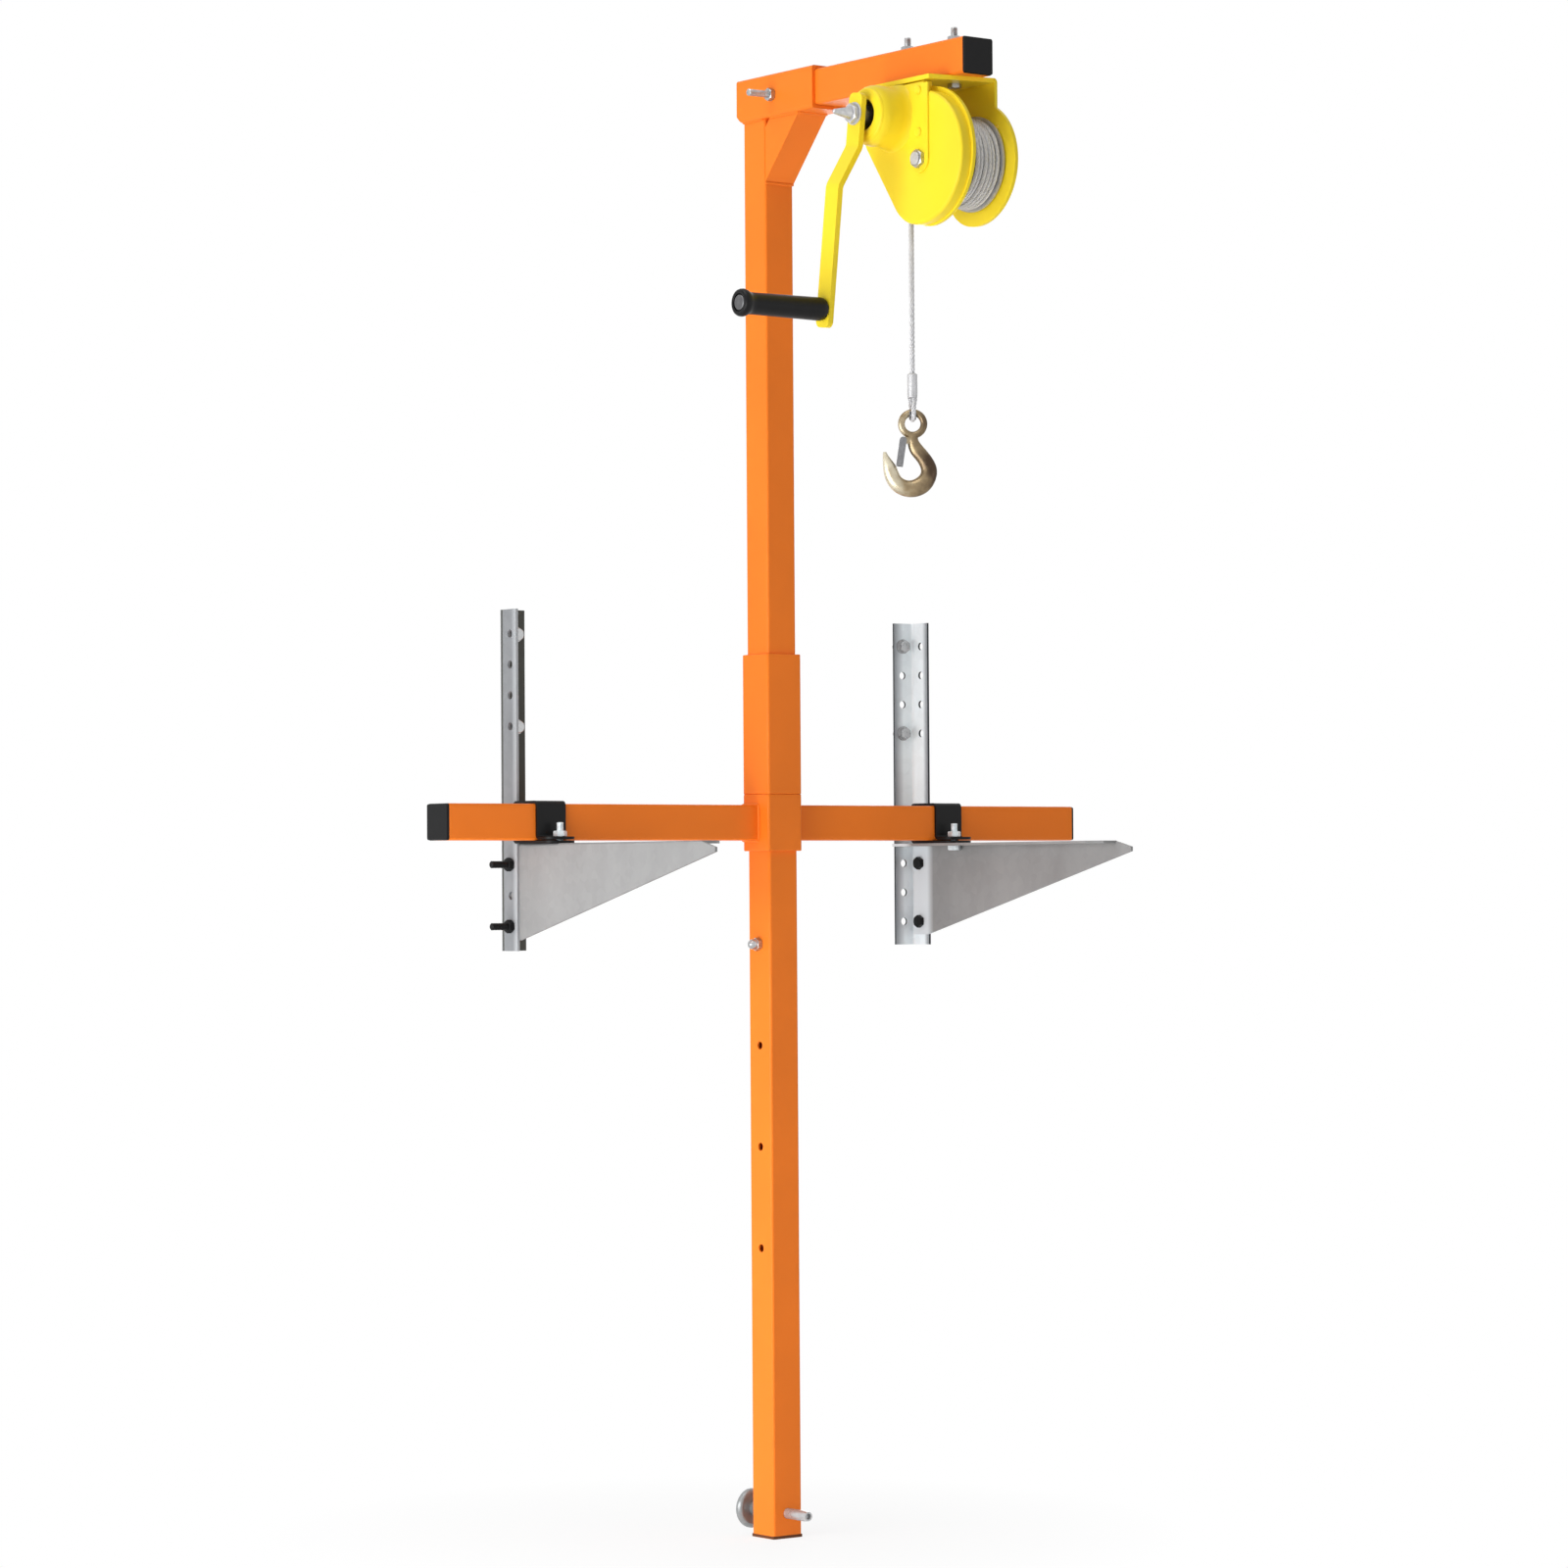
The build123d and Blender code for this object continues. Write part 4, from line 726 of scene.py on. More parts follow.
def strand_mesh(name, path, diameter, settings, side, sides=7):
    """Rope of strands that wind around a core, along a path."""
    count = settings.strands
    strand_r = diameter / 6
    ring_r = diameter / 2 - strand_r
    vertices, faces = [], []
    ways = [(b - a).normalized() for a, b in zip(path, path[1:])]
    ways.append(ways[-1])
    normal = ways[0].cross(Vector(side)).normalized()
    travel, stations = 0.0, []
    for before, point, way in zip(path[:1] + path, path, ways):
        travel += (point - before).length
        normal = (normal - way * normal.dot(way)).normalized()
        stations.append((point, normal, way.cross(normal), travel))
    for strand in range(count + 1):
        first = len(vertices)
        for point, right, up, run in stations:
            turn = 2 * math.pi * (strand / count + run / settings.lay)
            reach = ring_r if strand < count else 0.0
            middle = point + (right * math.cos(turn) + up * math.sin(turn)) * reach
            for corner in range(sides):
                angle = 2 * math.pi * corner / sides + turn
                vertices.append(middle + (right * math.cos(angle) + up * math.sin(angle)) * strand_r)
        rings = [list(range(start, start + sides)) for start in range(first, len(vertices), sides)]
        for ring, following in zip(rings, rings[1:]):
            for here, there in zip(range(sides), [*range(1, sides), 0]):
                faces.append((ring[here], ring[there], following[there], following[here]))
        faces += [rings[0][::-1], rings[-1]]
    mesh = bpy.data.meshes.new(name)
    mesh.from_pydata(vertices, [], faces)
    piece = bpy.data.objects.new(name, mesh)
    bpy.context.scene.collection.objects.link(piece)
    outward(piece, angle=60)
    return piece


class HOIST_OT_rope(bpy.types.Operator):
    """Stranded wire rope on the drum, down to the ferrule and round the thimble"""

    bl_idname = "hoist.rope"
    bl_label = "Wire rope"

    def execute(self, context):
        settings = context.scene.hoist_rope
        steel = plated_material("wire_rope", settings.steel, roughness=0.45, grain=3 * MM, metallic=0.3)
        low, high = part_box("rope_drop")
        diameter = high.x - low.x
        rope_x, rope_y = (low.x + high.x) / 2, (low.y + high.y) / 2
        top, bottom = high.z, low.z
        # Hanging part
        heights = [top + (bottom - top) * part / DROP_PARTS for part in range(DROP_PARTS + 1)]
        path = route_points([Vector((rope_x, rope_y, height)) for height in heights], resolution=24)
        full = diameter + settings.swell
        hanging = strand_mesh("rope_hanging", path, full, settings, RIGHT)
        dress(hanging, steel, "wire_rope", "upper_mast", "rope_drop")
        # Outer layer on the drum
        coil_low, coil_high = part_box("rope_winding")
        pitch = (coil_high.x - coil_low.x - diameter) / DRUM_TURNS
        start = Vector((rope_x, rope_y, top))
        coil = coil_points(start, middle_mm("drum_bushes") * MM, pitch, settings.slack)
        wound = strand_mesh("rope_wound", route_points(coil, resolution=5), diameter, settings, RIGHT)
        dress(wound, steel, "wire_rope", "drum_body", "rope_winding")
        # Loop through the eye of the hook
        eye_low, eye_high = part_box("rope_eye")
        centre = Vector((rope_x, rope_y, eye_low.z + diameter / 2 + LOOP_RADIUS))
        across = hook_axes()[1]
        loop = loop_points(centre, across * diameter * LEG_SPACE, eye_high.z - centre.z)
        eye = strand_mesh("rope_loop", route_points(loop, resolution=8), diameter, settings, across)
        dress(eye, steel, "wire_rope", "rope_end", "rope_eye")
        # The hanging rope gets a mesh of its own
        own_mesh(hanging)
        return {"FINISHED"}


# Painted tubes, in millimetres
RIM_WELD = 0.01
RIM_WIDTH = 1.2
ARM_BEAD = 2
HEAD_BEAD = 1.8
SEAM_BEAD = 0.9
SEAM_GAP = 3


def round_rims(piece):
    """Round the sharp rims of a tube."""
    modify(piece, "WELD", merge_threshold=RIM_WELD * MM)
    modify(piece, "BEVEL", width=RIM_WIDTH * MM, segments=3, angle_limit=math.radians(60))


def arm_beads():
    """Welds around the ends of the arms, on both sides of the collar."""
    collar_low, collar_high = box_mm("collar")
    low, high = box_mm("left_arm")
    lines = []
    for x in (collar_low.x, collar_high.x):
        lines.append(((x, low.y, low.z), (x, low.y, high.z)))
        lines.append(((x, low.y, high.z), (x, collar_high.y, high.z)))
        lines.append(((x, low.y, low.z), (x, collar_high.y, low.z)))
    return [weld(*line, ARM_BEAD) for line in lines]


def head_beads():
    """Welds between the post, its brace and the head block."""
    low, high = box_mm("brace")
    post_back = box_mm("upper_post")[1].y
    slant = math.atan2(high.z - low.z, high.y - low.y)
    across = (high.x - low.x) / math.sin(slant)
    rise = (high.x - low.x) / math.cos(slant)
    lines = [((low.x, low.y, high.z), (high.x, low.y, high.z))]
    lines.append(((low.x, high.y, low.z), (high.x, high.y, low.z)))
    lines.append(((low.x, post_back, high.z), (high.x, post_back, high.z)))
    seams = []
    for x in (low.x, high.x):
        lines.append(((x, low.y, high.z), (x, low.y + across, high.z)))
        lines.append(((x, high.y + SEAM_GAP, high.z), (x, post_back, high.z)))
        seams.append(((x, high.y, low.z), (x, high.y, low.z + rise)))
    beads = [weld(*line, HEAD_BEAD) for line in lines]
    return beads + [weld(*seam, SEAM_BEAD) for seam in seams]


class HOIST_OT_tubes(bpy.types.Operator):
    """Powder-coated tubes of the mast, the cross arms and the boom"""

    bl_idname = "hoist.tubes"
    bl_label = "Painted tubes"

    def execute(self, context):
        paint = context.scene.hoist_paint
        orange = coat_material("orange_paint", paint.orange, paint.peel, paint.edge, roughness=0.36)
        finish(
            orange, "lower_post", "joint_sleeve", "upper_post", "head_block", "brace", "boom",
            "collar", "left_arm", "right_arm",
        )
        # Rounded, so that the joint between sleeve and collar shows
        round_rims(nodes["joint_sleeve"])
        round_rims(nodes["collar"])
        dress(join("arm_welds", arm_beads()), orange, "orange_paint", "cross_arm")
        dress(join("head_welds", head_beads()), orange, "orange_paint", "upper_mast")
        return {"FINISHED"}


# Bands of another tint on the brackets, such as painted shade and painted highlights: where they start,
# are full, begin to fade and end, in millimetres
LAP_BAND = (-36, -25, 1, 2)
# Painted shade along the wall on the left upright
WALL_SHADE_BAND = (-4.5, -3.6, -1.8, -0.9)
# Painted highlight along the front edge of the left upright
EDGE_HIGHLIGHT_BAND = (-2, -1, 3, 9)
# Painted shade along the outer edges of the right upright
EDGE_SHADE_SIDE_BAND = (-2, -1, 1, 13)
EDGE_SHADE_FRONT_BAND = (-2, -1, 2, 8)
# Painted shade in the holes and along the flange edges of the right upright
HOLE_SHADE_BAND = (-2.9, -2.6, -0.4, -0.1)
# Bolts between plates and uprights
PLATE_GRIP = 6 * MM
PLATE_STUD = 20 * MM


class HOIST_OT_brackets(bpy.types.Operator):
    """Galvanised angle bars and plates with their black straps"""

    bl_idname = "hoist.brackets"
    bl_label = "Wall brackets"

    def execute(self, context):
        metal = context.scene.hoist_metal
        paint = context.scene.hoist_paint
        sheet = galvanised_material("galvanised", metal.galvanised, metal.spangle, roughness=0.58)
        finish(sheet, "left_bracket_arm")
        # Right plate, bright where it lies on its upright
        bands = [("Y", box_mm("right_bracket_arm")[1].y, LAP_BAND, metal.lapped)]
        lapped = galvanised_material("galvanised_lapped", metal.galvanised, metal.spangle, 0.58, bands)
        finish(lapped, "right_bracket_arm")
        # Left upright, painted darker as shaded, with painted shade along the wall and a painted highlight
        # at its front edge
        low, high = box_mm("left_upright")
        bands = [("Y", high.y, WALL_SHADE_BAND, metal.wall_shade_zinc), ("Y", low.y, EDGE_HIGHLIGHT_BAND, metal.edge_highlight_zinc)]
        shaded_zinc = galvanised_material("galvanised_aged", metal.shaded_zinc, metal.spangle, 0.58, bands)
        finish(shaded_zinc, "left_upright")
        # Right upright, painted lighter as lit, with painted shade at its outer edges and in its holes
        low, high = box_mm("right_upright")
        bands = [
            ("X", low.x, EDGE_SHADE_SIDE_BAND, metal.darker_zinc),
            ("Y", low.y, EDGE_SHADE_FRONT_BAND, metal.darker_zinc),
            ("Y", high.y, HOLE_SHADE_BAND, metal.cut),
            ("X", high.x, HOLE_SHADE_BAND, metal.cut),
        ]
        lit_zinc = galvanised_material("galvanised_fresh", metal.lit_zinc, metal.spangle, 0.56, bands)
        finish(lit_zinc, "right_upright")
        # Black straps and bolts
        black = moulded_material("black_steel", paint.black, roughness=0.42, grain=0.8 * MM)
        finish(black, "left_clamp", "right_clamp")
        low, high = box_mm("bracket_bolts")
        inner = high.x - (PLATE_GRIP + M8_NUT + PLATE_STUD) / MM
        places = []
        for side in (-1, 1):
            for row in rows(low.z, high.z, M8_HALF_CORNERS):
                places.append(((side * inner, (low.y + high.y) / 2, row), (side, 0, 0)))
        pattern = bolt(PLATE_GRIP, PLATE_STUD)
        fasten("plate_bolts", pattern, places, black, "black_steel", "wall_brackets", "bracket_bolts")
        return {"FINISHED"}


# Winch: profiles of radius and height in millimetres
HOUSING_PROFILE = [
    (29, -0.5), (38, -0.5), (36.4, 1), (34.6, 3.4), (33.5, 7), (33, 12), (33, 27), (32.4, 31),
    (30.8, 35), (28, 38), (24.5, 39.5), (20.5, 39.9), (17.4, 39.9), (16.7, 39.5), (16.6, 38), (29, 38),
    (29, -0.5),
]
TAPER_PROFILE = [(0, -1), (6.8, -1), (6.8, 6), (6.2, 7.5), (2.6, 25), (1.8, 26.3), (0.8, 26.8), (0, 26.9)]
SHAFT_CUT = 13


class HOIST_OT_winch(bpy.types.Operator):
    """Yellow winch frame, gear cover and crank"""

    bl_idname = "hoist.winch"
    bl_label = "Winch"

    def execute(self, context):
        paint = context.scene.hoist_paint
        yellow = coat_material("yellow_paint", paint.yellow, paint.peel, paint.edge, roughness=0.3)
        finish(yellow, "winch_frame", "gear_cover", "cover_strap", "crank_arm", "cover_rivets")
        # Drawn housing of the brake, which runs into the cover
        axis = middle_mm("crank_hub")
        shell = turned("brake_housing", HOUSING_PROFILE, steps=72, unit=MM)
        put(shell, (box_mm("cover_strap")[1].x, axis.y, axis.z), LEFT)
        cut_away(shell, (0, 0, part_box("gear_cover")[1].z), UP)
        outward(shell, angle=40)
        dress(shell, yellow, "yellow_paint", "upper_mast")
        return {"FINISHED"}


class HOIST_OT_gearing(bpy.types.Operator):
    """Drum, gears, brake and bearings inside the winch"""

    bl_idname = "hoist.gearing"
    bl_label = "Gears and brake"

    def execute(self, context):
        metal = context.scene.hoist_metal
        dark = plated_material("dark_steel", metal.dark, roughness=0.38, grain=4 * MM)
        finish(
            dark, "drive_gear", "brake_hub", "ratchet_wheel", "crank_hub", "pawl",
            "pawl_pin", "pawl_spring", "rope_core", "grip_bolt",
        )
        # Shaft of the crank, whose end tapers in front of its nut
        select(nodes["pinion_shaft"])
        bpy.ops.object.duplicate()
        shaft = context.object
        settle()
        cut = box_mm("pinion_shaft")[0].x + SHAFT_CUT
        cut_away(shaft, (cut * MM, 0, 0), LEFT)
        axis = middle_mm("crank_hub")
        taper = put(turned("taper", TAPER_PROFILE, unit=MM), (cut, axis.y, axis.z), LEFT)
        shaft = join("crank_shaft", [shaft, taper])
        outward(shaft)
        steel = plated_material("shaft_steel", metal.bright, roughness=0.3, grain=4 * MM, metallic=0.8)
        dress(shaft, steel, "dark_steel", "crank_body", "pinion_shaft")
        # Drum, bushes and linings
        zinc = plated_material("drum_zinc", metal.alloy, roughness=0.45, grain=6 * MM, metallic=0.3)
        finish(zinc, "drum", "drum_axle")
        bronze = plated_material("bronze", metal.bronze, roughness=0.3, grain=4 * MM)
        finish(bronze, "drum_bushes", "pinion_bushes", "foot_bush")
        lining = moulded_material("lining", metal.lining, roughness=0.8, grain=0.6 * MM)
        finish(lining, "friction_discs")
        return {"FINISHED"}


# Fasteners in metres: what each bolt clamps and its free end, and 0 where it has no nut
WALL_BOLT = (0, 16.6 * MM, 0)
STRAP_BOLT = (10.2 * MM, 9 * MM)
BLOCK_BOLT = (48 * MM, 27 * MM)
HANGER_BOLT = (45 * MM, 9.5 * MM)
STOP_BOLT = (40 * MM, 3 * MM)
AXLE_FLATS = 18 * MM
AXLE_NUT = 5 * MM
CRANK_FLATS = 19 * MM
CRANK_NUT = 5.5 * MM
# Dome of the stop nut and washer of the crank, in millimetres
DOME_PROFILE = [(0, 0), (6.1, 0), (6.0, 2.4), (5.3, 5), (3.9, 7), (2, 8.2), (0, 8.5)]
CRANK_WASHER = 1.7
WASHER_PROFILE = [(0, 0), (12.2, 0), (12.4, 0.3), (12.4, 1.4), (12.1, CRANK_WASHER), (0, CRANK_WASHER)]


class HOIST_OT_fasteners(bpy.types.Operator):
    """Zinc-plated bolts and nuts with chamfered hexagons and cut threads"""

    bl_idname = "hoist.fasteners"
    bl_label = "Fasteners"

    def execute(self, context):
        metal = context.scene.hoist_metal
        zinc = plated_material("zinc", metal.zinc, roughness=0.28, grain=5 * MM, metallic=0.85)
        # Zinc of the strap bolts, painted lighter as lit
        bright = plated_material("bright_zinc", metal.lit_zinc, roughness=0.36, grain=5 * MM, metallic=0.35)
        darker_zinc = plated_material("dull_zinc", metal.alloy, roughness=0.4, grain=5 * MM, metallic=0.4)
        finish(zinc, "wall_washers")
        head = M8_HEAD / MM
        # Bolts in the wall
        low, high = box_mm("wall_bolts")
        places = []
        for x in rows(low.x, high.x, M8_HALF_FLATS):
            for z in rows(low.z, high.z, M8_HALF_CORNERS):
                places.append(((x, low.y + head, z), TO_WALL))
        fasten("anchor_bolts", bolt(*WALL_BOLT), places, zinc, "zinc", "wall_brackets", "wall_bolts")
        # Bolts in the ears of the straps
        low, high = box_mm("clamp_bolts")
        y = (low.y + high.y) / 2
        places = [((x, y, low.z + head), UP) for x in rows(low.x, high.x, M8_HALF_CORNERS)]
        fasten("strap_bolts", bolt(*STRAP_BOLT), places, bright, "zinc", "wall_brackets", "clamp_bolts")
        # Long bolt through the head block
        places = [(right_end("head_bolt", head), LEFT)]
        fasten("block_bolt", bolt(*BLOCK_BOLT), places, zinc, "zinc", "upper_mast", "head_bolt")
        # Bolts that hang the winch from the boom
        low, high = box_mm("winch_bolts")
        x = (low.x + high.x) / 2
        places = [((x, y, low.z + head), UP) for y in rows(low.y, high.y, M8_HALF_FLATS)]
        fasten("hanger_bolts", bolt(*HANGER_BOLT), places, zinc, "zinc", "upper_mast", "winch_bolts")
        # Stop bolt with its domed nut
        places = [(right_end("stop_bolt", head), LEFT)]
        dome = turned("dome", DOME_PROFILE, unit=MM)
        put(dome, (0, 0, (STOP_BOLT[0] + M8_NUT) / MM), UP)
        pattern = join("stop", [bolt(*STOP_BOLT), dome])
        fasten("stop_screw", pattern, places, zinc, "zinc", "lower_mast", "stop_bolt")
        # Nut of the drum axle
        places = [(right_end("axle_nut"), LEFT)]
        pattern = hexagon("axle", AXLE_FLATS, AXLE_NUT)
        fasten("drum_nut", pattern, places, zinc, "zinc", "upper_mast", "axle_nut")
        # Nut of the crank on a washer
        places = [(right_end("crank_nut"), LEFT)]
        washer = turned("washer", WASHER_PROFILE, steps=40, unit=MM)
        nut = put(hexagon("nut", CRANK_FLATS, CRANK_NUT, True), (0, 0, CRANK_WASHER), UP)
        pattern = join("crank", [washer, nut])
        fasten("shaft_nut", pattern, places, darker_zinc, "zinc", "crank_body", "crank_nut")
        return {"FINISHED"}


# Grip with its flange and the recess for its bolt, and the plug of the post, in millimetres
GRIP_PROFILE = [
    (5.2, 0), (9, 0), (11.4, 1), (12.6, 3.6), (12.7, 8), (12.2, 50), (11.8, 96), (12, 100), (13.2, 103.2),
    (14.4, 105.6), (15, 108.4), (14.8, 110.6), (14, 112.4), (12.4, 113.4), (10.4, 113.5), (9.6, 113),
    (9.5, 110), (5.2, 110), (5.2, 0),
]
PLUG_HEIGHT = 3.6
PLUG_RIM = 0.6
PLUG_EDGE = 0.7


class HOIST_OT_plastics(bpy.types.Operator):
    """Moulded end caps, the grip and the plug of the post"""

    bl_idname = "hoist.plastics"
    bl_label = "Caps and grip"

    def execute(self, context):
        paint = context.scene.hoist_paint
        black = moulded_material("black_plastic", paint.plastic, roughness=0.5, grain=0.5 * MM)
        finish(black, "arm_end_caps", "boom_cap")
        # Grip
        grip = put(turned("hand_grip", GRIP_PROFILE, steps=48, unit=MM), right_end("grip"), LEFT)
        rubber = moulded_material("grip_plastic", paint.plastic, roughness=0.36, grain=0.9 * MM)
        dress(grip, rubber, "grip_plastic", "grip_body", "grip")
        # Plug in the foot of the post, painted dark brown as the shade along the post's bottom edge
        low, high = box_mm("lower_post")
        middle = (low + high) / 2
        deselect()
        bpy.ops.mesh.primitive_cube_add(size=MM)
        plug = context.object
        plug.name = "post_plug"
        plug.scale = (high.x - low.x + PLUG_RIM, high.y - low.y + PLUG_RIM, PLUG_HEIGHT)
        plug.location = Vector((middle.x, middle.y, low.z + PLUG_HEIGHT / 2)) * MM
        settle()
        modify(plug, "BEVEL", width=PLUG_EDGE * MM, segments=3)
        apply_modifiers(plug)
        outward(plug)
        brown = moulded_material("brown_plastic", paint.plug, roughness=0.5, grain=0.5 * MM)
        dress(plug, brown, "black_plastic", "lower_mast")
        return {"FINISHED"}


HOOK_HALF = 30 * MM


class HOIST_OT_hook(bpy.types.Operator):
    """Forged hook with its latch, ferrule and thimble"""

    bl_idname = "hoist.hook"
    bl_label = "Hook"

    def execute(self, context):
        metal = context.scene.hoist_metal
        # The hook runs from a painted highlight on one side to painted shade on the other
        colours = (metal.pale, metal.gold, metal.brown)
        gold = forged_material("hook_gold", colours, middle_mm("hook") * MM, hook_axes()[1], HOOK_HALF)
        finish(gold, "hook")
        alloy = plated_material("pressed_alloy", metal.alloy, roughness=0.4, grain=30 * MM, metallic=0.5)
        finish(alloy, "ferrule")
        steel = plated_material("latch_steel", metal.sheet, roughness=0.3, grain=3 * MM)
        finish(steel, "latch", "latch_pin", "thimble")
        return {"FINISHED"}


# Foot screw: its thread, its plain end, and the hollow in that end in millimetres
FOOT_PITCH = 1.75 * MM
FOOT_TIP = 1 * MM
SPIGOT = 40 * MM
SPIGOT_LAP = 2 * MM
SPIGOT_TAPER = 6 * MM
SPIGOT_STEP = 0.8 * MM
HOLLOW_PROFILE = [(3.4, 0), (3.2, 5), (0, 6)]


class HOIST_OT_foot(bpy.types.Operator):
    """Foot screw and its polished pad"""

    bl_idname = "hoist.foot"
    bl_label = "Foot"

    def execute(self, context):
        metal = context.scene.hoist_metal
        pad = plated_material("pad_steel", metal.pad, roughness=0.34, grain=12 * MM, metallic=0.6)
        finish(pad, "foot_pad")
        low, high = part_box("foot_rod")
        radius, run = (high.x - low.x) / 2, high.y - low.y
        thread = threaded("thread", radius, FOOT_PITCH, 0, run - SPIGOT, FOOT_TIP)
        start = run - SPIGOT - SPIGOT_LAP
        profile = [(0, start), (radius, start), (radius, run - SPIGOT_TAPER), (radius - SPIGOT_STEP, run)]
        profile += [(width * MM, run - depth * MM) for width, depth in HOLLOW_PROFILE]
        rod = join("foot_screw", [thread, turned("spigot", profile)])
        middle = middle_mm("foot_rod")
        put(rod, (middle.x, high.y / MM, middle.z), FROM_WALL)
        bright = plated_material("bright_steel", metal.bright, roughness=0.3, grain=12 * MM, metallic=0.55)
        dress(rod, bright, "bright_steel", "foot", "foot_rod")
        return {"FINISHED"}


# Stage, in metres
CAMERA_SPOT = (-3.3003, -4.4424, -0.2262)
CAMERA_AZIMUTH = math.radians(-37.433)
CAMERA_ELEVATION = math.radians(-1.177)
CAMERA_ROLL = math.radians(-0.38)
CAMERA_REACH = 100
HOIST_AIM = Vector((0.03, -0.15, -0.1))
FOOT_AIM = Vector((0.03, -0.07, -0.75))
LAMPS = {
    "key": {"spot": (-2.9, -0.5, -0.3), "width": 2.6, "height": 1.3},
    "low": {"spot": (-1.0, -0.2, -0.85), "width": 0.5, "height": 0.5, "mirrored": False, "aim": FOOT_AIM},
    "fill": {"spot": (1.2, -4.0, -0.1), "width": 2.4, "height": 1.6},
    "back": {"spot": (3.2, 2.8, 1.0), "width": 2.4, "height": 2.4},
    "top": {"spot": (-1.5, -0.35, 2.9), "width": 1.8, "height": 1.8},
}
FLOOR_RADIUS = 30
FLOOR_FADE = (0.2, 1.1)


def add_lamp(name, energy, spot, width, height, mirrored=True, aim=HOIST_AIM):
    """Soft lamp that points at the hoist; metal shows its mirror image or only its light."""
    deselect()
    bpy.ops.object.light_add(type="AREA", location=spot)
    lamp = bpy.context.object
    lamp.name = name
    lamp.visible_camera = False
    lamp.visible_glossy = mirrored
    lamp.data.shape = "RECTANGLE"
    lamp.data.size = width
    lamp.data.size_y = height
    lamp.data.energy = energy
    lamp.rotation_euler = (aim - Vector(spot)).to_track_quat("-Z", "Y").to_euler()


def add_camera(scene, lens):
    """Camera that sees the hoist as the photograph does."""
    aside = Matrix.Rotation(CAMERA_AZIMUTH, 4, "Z")
    upright = Matrix.Rotation(math.pi / 2 - CAMERA_ELEVATION, 4, "X")
    roll = Matrix.Rotation(CAMERA_ROLL, 4, "Z")
    deselect()
    bpy.ops.object.camera_add()
    camera = bpy.context.object
    camera.name = "photo_camera"
    camera.matrix_world = Matrix.Translation(CAMERA_SPOT) @ aside @ upright @ roll
    camera.data.lens = lens
    camera.data.clip_end = CAMERA_REACH
    scene.camera = camera


def seen_directly(tree):
    """1 for rays from the camera, from gloss and through glass."""
    path = add_node(tree, "LightPath", {})
    total = path.outputs["Is Camera Ray"]
    for name in ("Is Glossy Ray", "Is Transmission Ray"):
        values = {0: total, 1: path.outputs[name]}
        total = add_node(tree, "Math", values, operation="MAXIMUM").outputs["Value"]
    return total


def show_mix(tree, share, first, second, output):
    """Show a mix of two shaders, by the share of the second."""
    mix = add_node(tree, "MixShader", {0: share, 1: first.outputs[0], 2: second.outputs[0]})
    feed(tree, tree.nodes[output], {"Surface": mix.outputs["Shader"]})


def add_surroundings(scene, ambient):
    """Soft light from all around, which is seen as plain white."""
    world = bpy.data.worlds.new("studio")
    scene.world = world
    world.use_nodes = True
    tree = world.node_tree
    soft = tree.nodes["Background"]
    feed(tree, soft, {"Color": (1, 1, 1, 1), "Strength": ambient})
    white = add_node(tree, "Background", {"Color": (1, 1, 1, 1), "Strength": 1.0})
    show_mix(tree, seen_directly(tree), soft, white, "World Output")


def floor_material(base):
    """Pale floor that fades into the white surroundings."""
    material, tree, shader, place = start_material("pale_floor", base, 0.0, 0.9)
    distance = add_node(tree, "VectorMath", {0: place}, operation="LENGTH").outputs["Value"]
    values = {0: share_between(tree, distance, *FLOOR_FADE), 1: seen_directly(tree)}
    share = add_node(tree, "Math", values, operation="MULTIPLY").outputs["Value"]
    show_mix(tree, share, shader, add_node(tree, "Emission", {}), "Material Output")
    return material


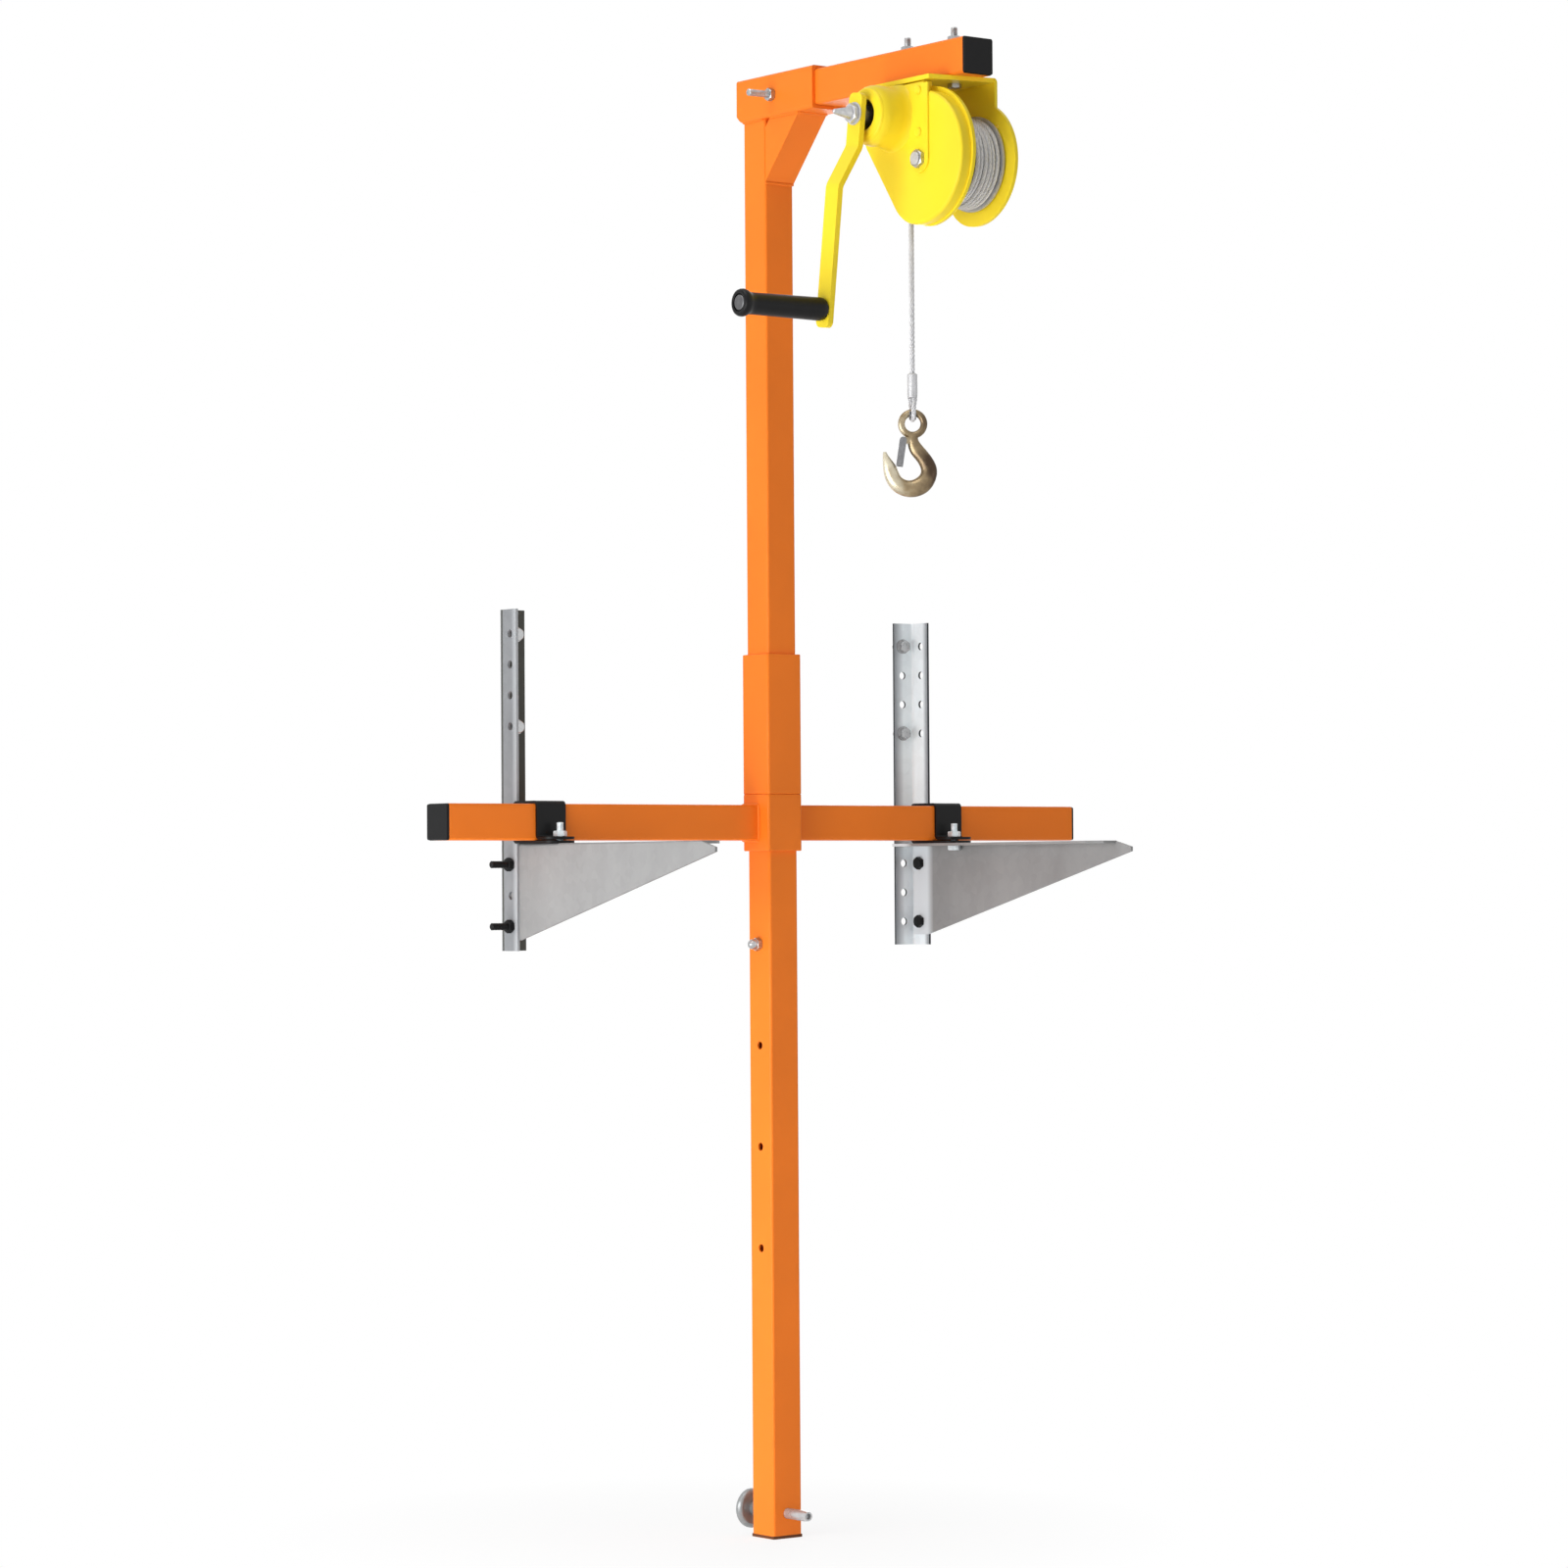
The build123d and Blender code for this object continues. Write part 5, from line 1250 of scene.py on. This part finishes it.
class HOIST_OT_stage(bpy.types.Operator):
    """Pale floor, white surroundings, soft lamps and the camera"""

    bl_idname = "hoist.stage"
    bl_label = "Stage"

    def execute(self, context):
        scene = context.scene
        settings = scene.hoist_stage
        scene.view_settings.view_transform = "Standard"
        add_camera(scene, settings.lens)
        for name, lamp in LAMPS.items():
            add_lamp(f"{name}_lamp", getattr(settings, name), **lamp)
        add_surroundings(scene, settings.ambient)
        # Floor
        deselect()
        bpy.ops.mesh.primitive_circle_add(
            vertices=96, radius=FLOOR_RADIUS, fill_type="NGON", location=(0, 0, cad_box[0][2])
        )
        floor = context.object
        floor.name = "floor"
        settle()
        floor.data.materials.append(floor_material(settings.floor))
        return {"FINISHED"}


OPERATORS = (
    HOIST_OT_rope,
    HOIST_OT_tubes,
    HOIST_OT_brackets,
    HOIST_OT_winch,
    HOIST_OT_gearing,
    HOIST_OT_fasteners,
    HOIST_OT_plastics,
    HOIST_OT_hook,
    HOIST_OT_foot,
    HOIST_OT_stage,
)
GROUPS = {
    "hoist_paint": HoistPaint,
    "hoist_metal": HoistMetal,
    "hoist_rope": HoistRope,
    "hoist_stage": HoistStage,
}


class HOIST_PT_steps(bpy.types.Panel):
    """Steps that finish the hoist"""

    bl_label = "Hoist"
    bl_idname = "HOIST_PT_steps"
    bl_space_type = "VIEW_3D"
    bl_region_type = "UI"
    bl_category = "Hoist"

    def draw(self, context):
        for step in OPERATORS:
            self.layout.operator(step.bl_idname)


def register():
    """Register the values, the operators and the panel."""
    for name, group in GROUPS.items():
        bpy.utils.register_class(group)
        setattr(bpy.types.Scene, name, PointerProperty(type=group))
    for step in OPERATORS:
        bpy.utils.register_class(step)
    bpy.utils.register_class(HOIST_PT_steps)


def unregister():
    """Undo register."""
    bpy.utils.unregister_class(HOIST_PT_steps)
    for step in reversed(OPERATORS):
        bpy.utils.unregister_class(step)
    for name, group in GROUPS.items():
        delattr(bpy.types.Scene, name)
        bpy.utils.unregister_class(group)


def main():
    """Finish the whole hoist."""
    register()
    bpy.ops.hoist.rope()
    bpy.ops.hoist.tubes()
    bpy.ops.hoist.brackets()
    bpy.ops.hoist.winch()
    bpy.ops.hoist.gearing()
    bpy.ops.hoist.fasteners()
    bpy.ops.hoist.plastics()
    bpy.ops.hoist.hook()
    bpy.ops.hoist.foot()
    bpy.ops.hoist.stage()


if __name__ == "__main__":
    main()
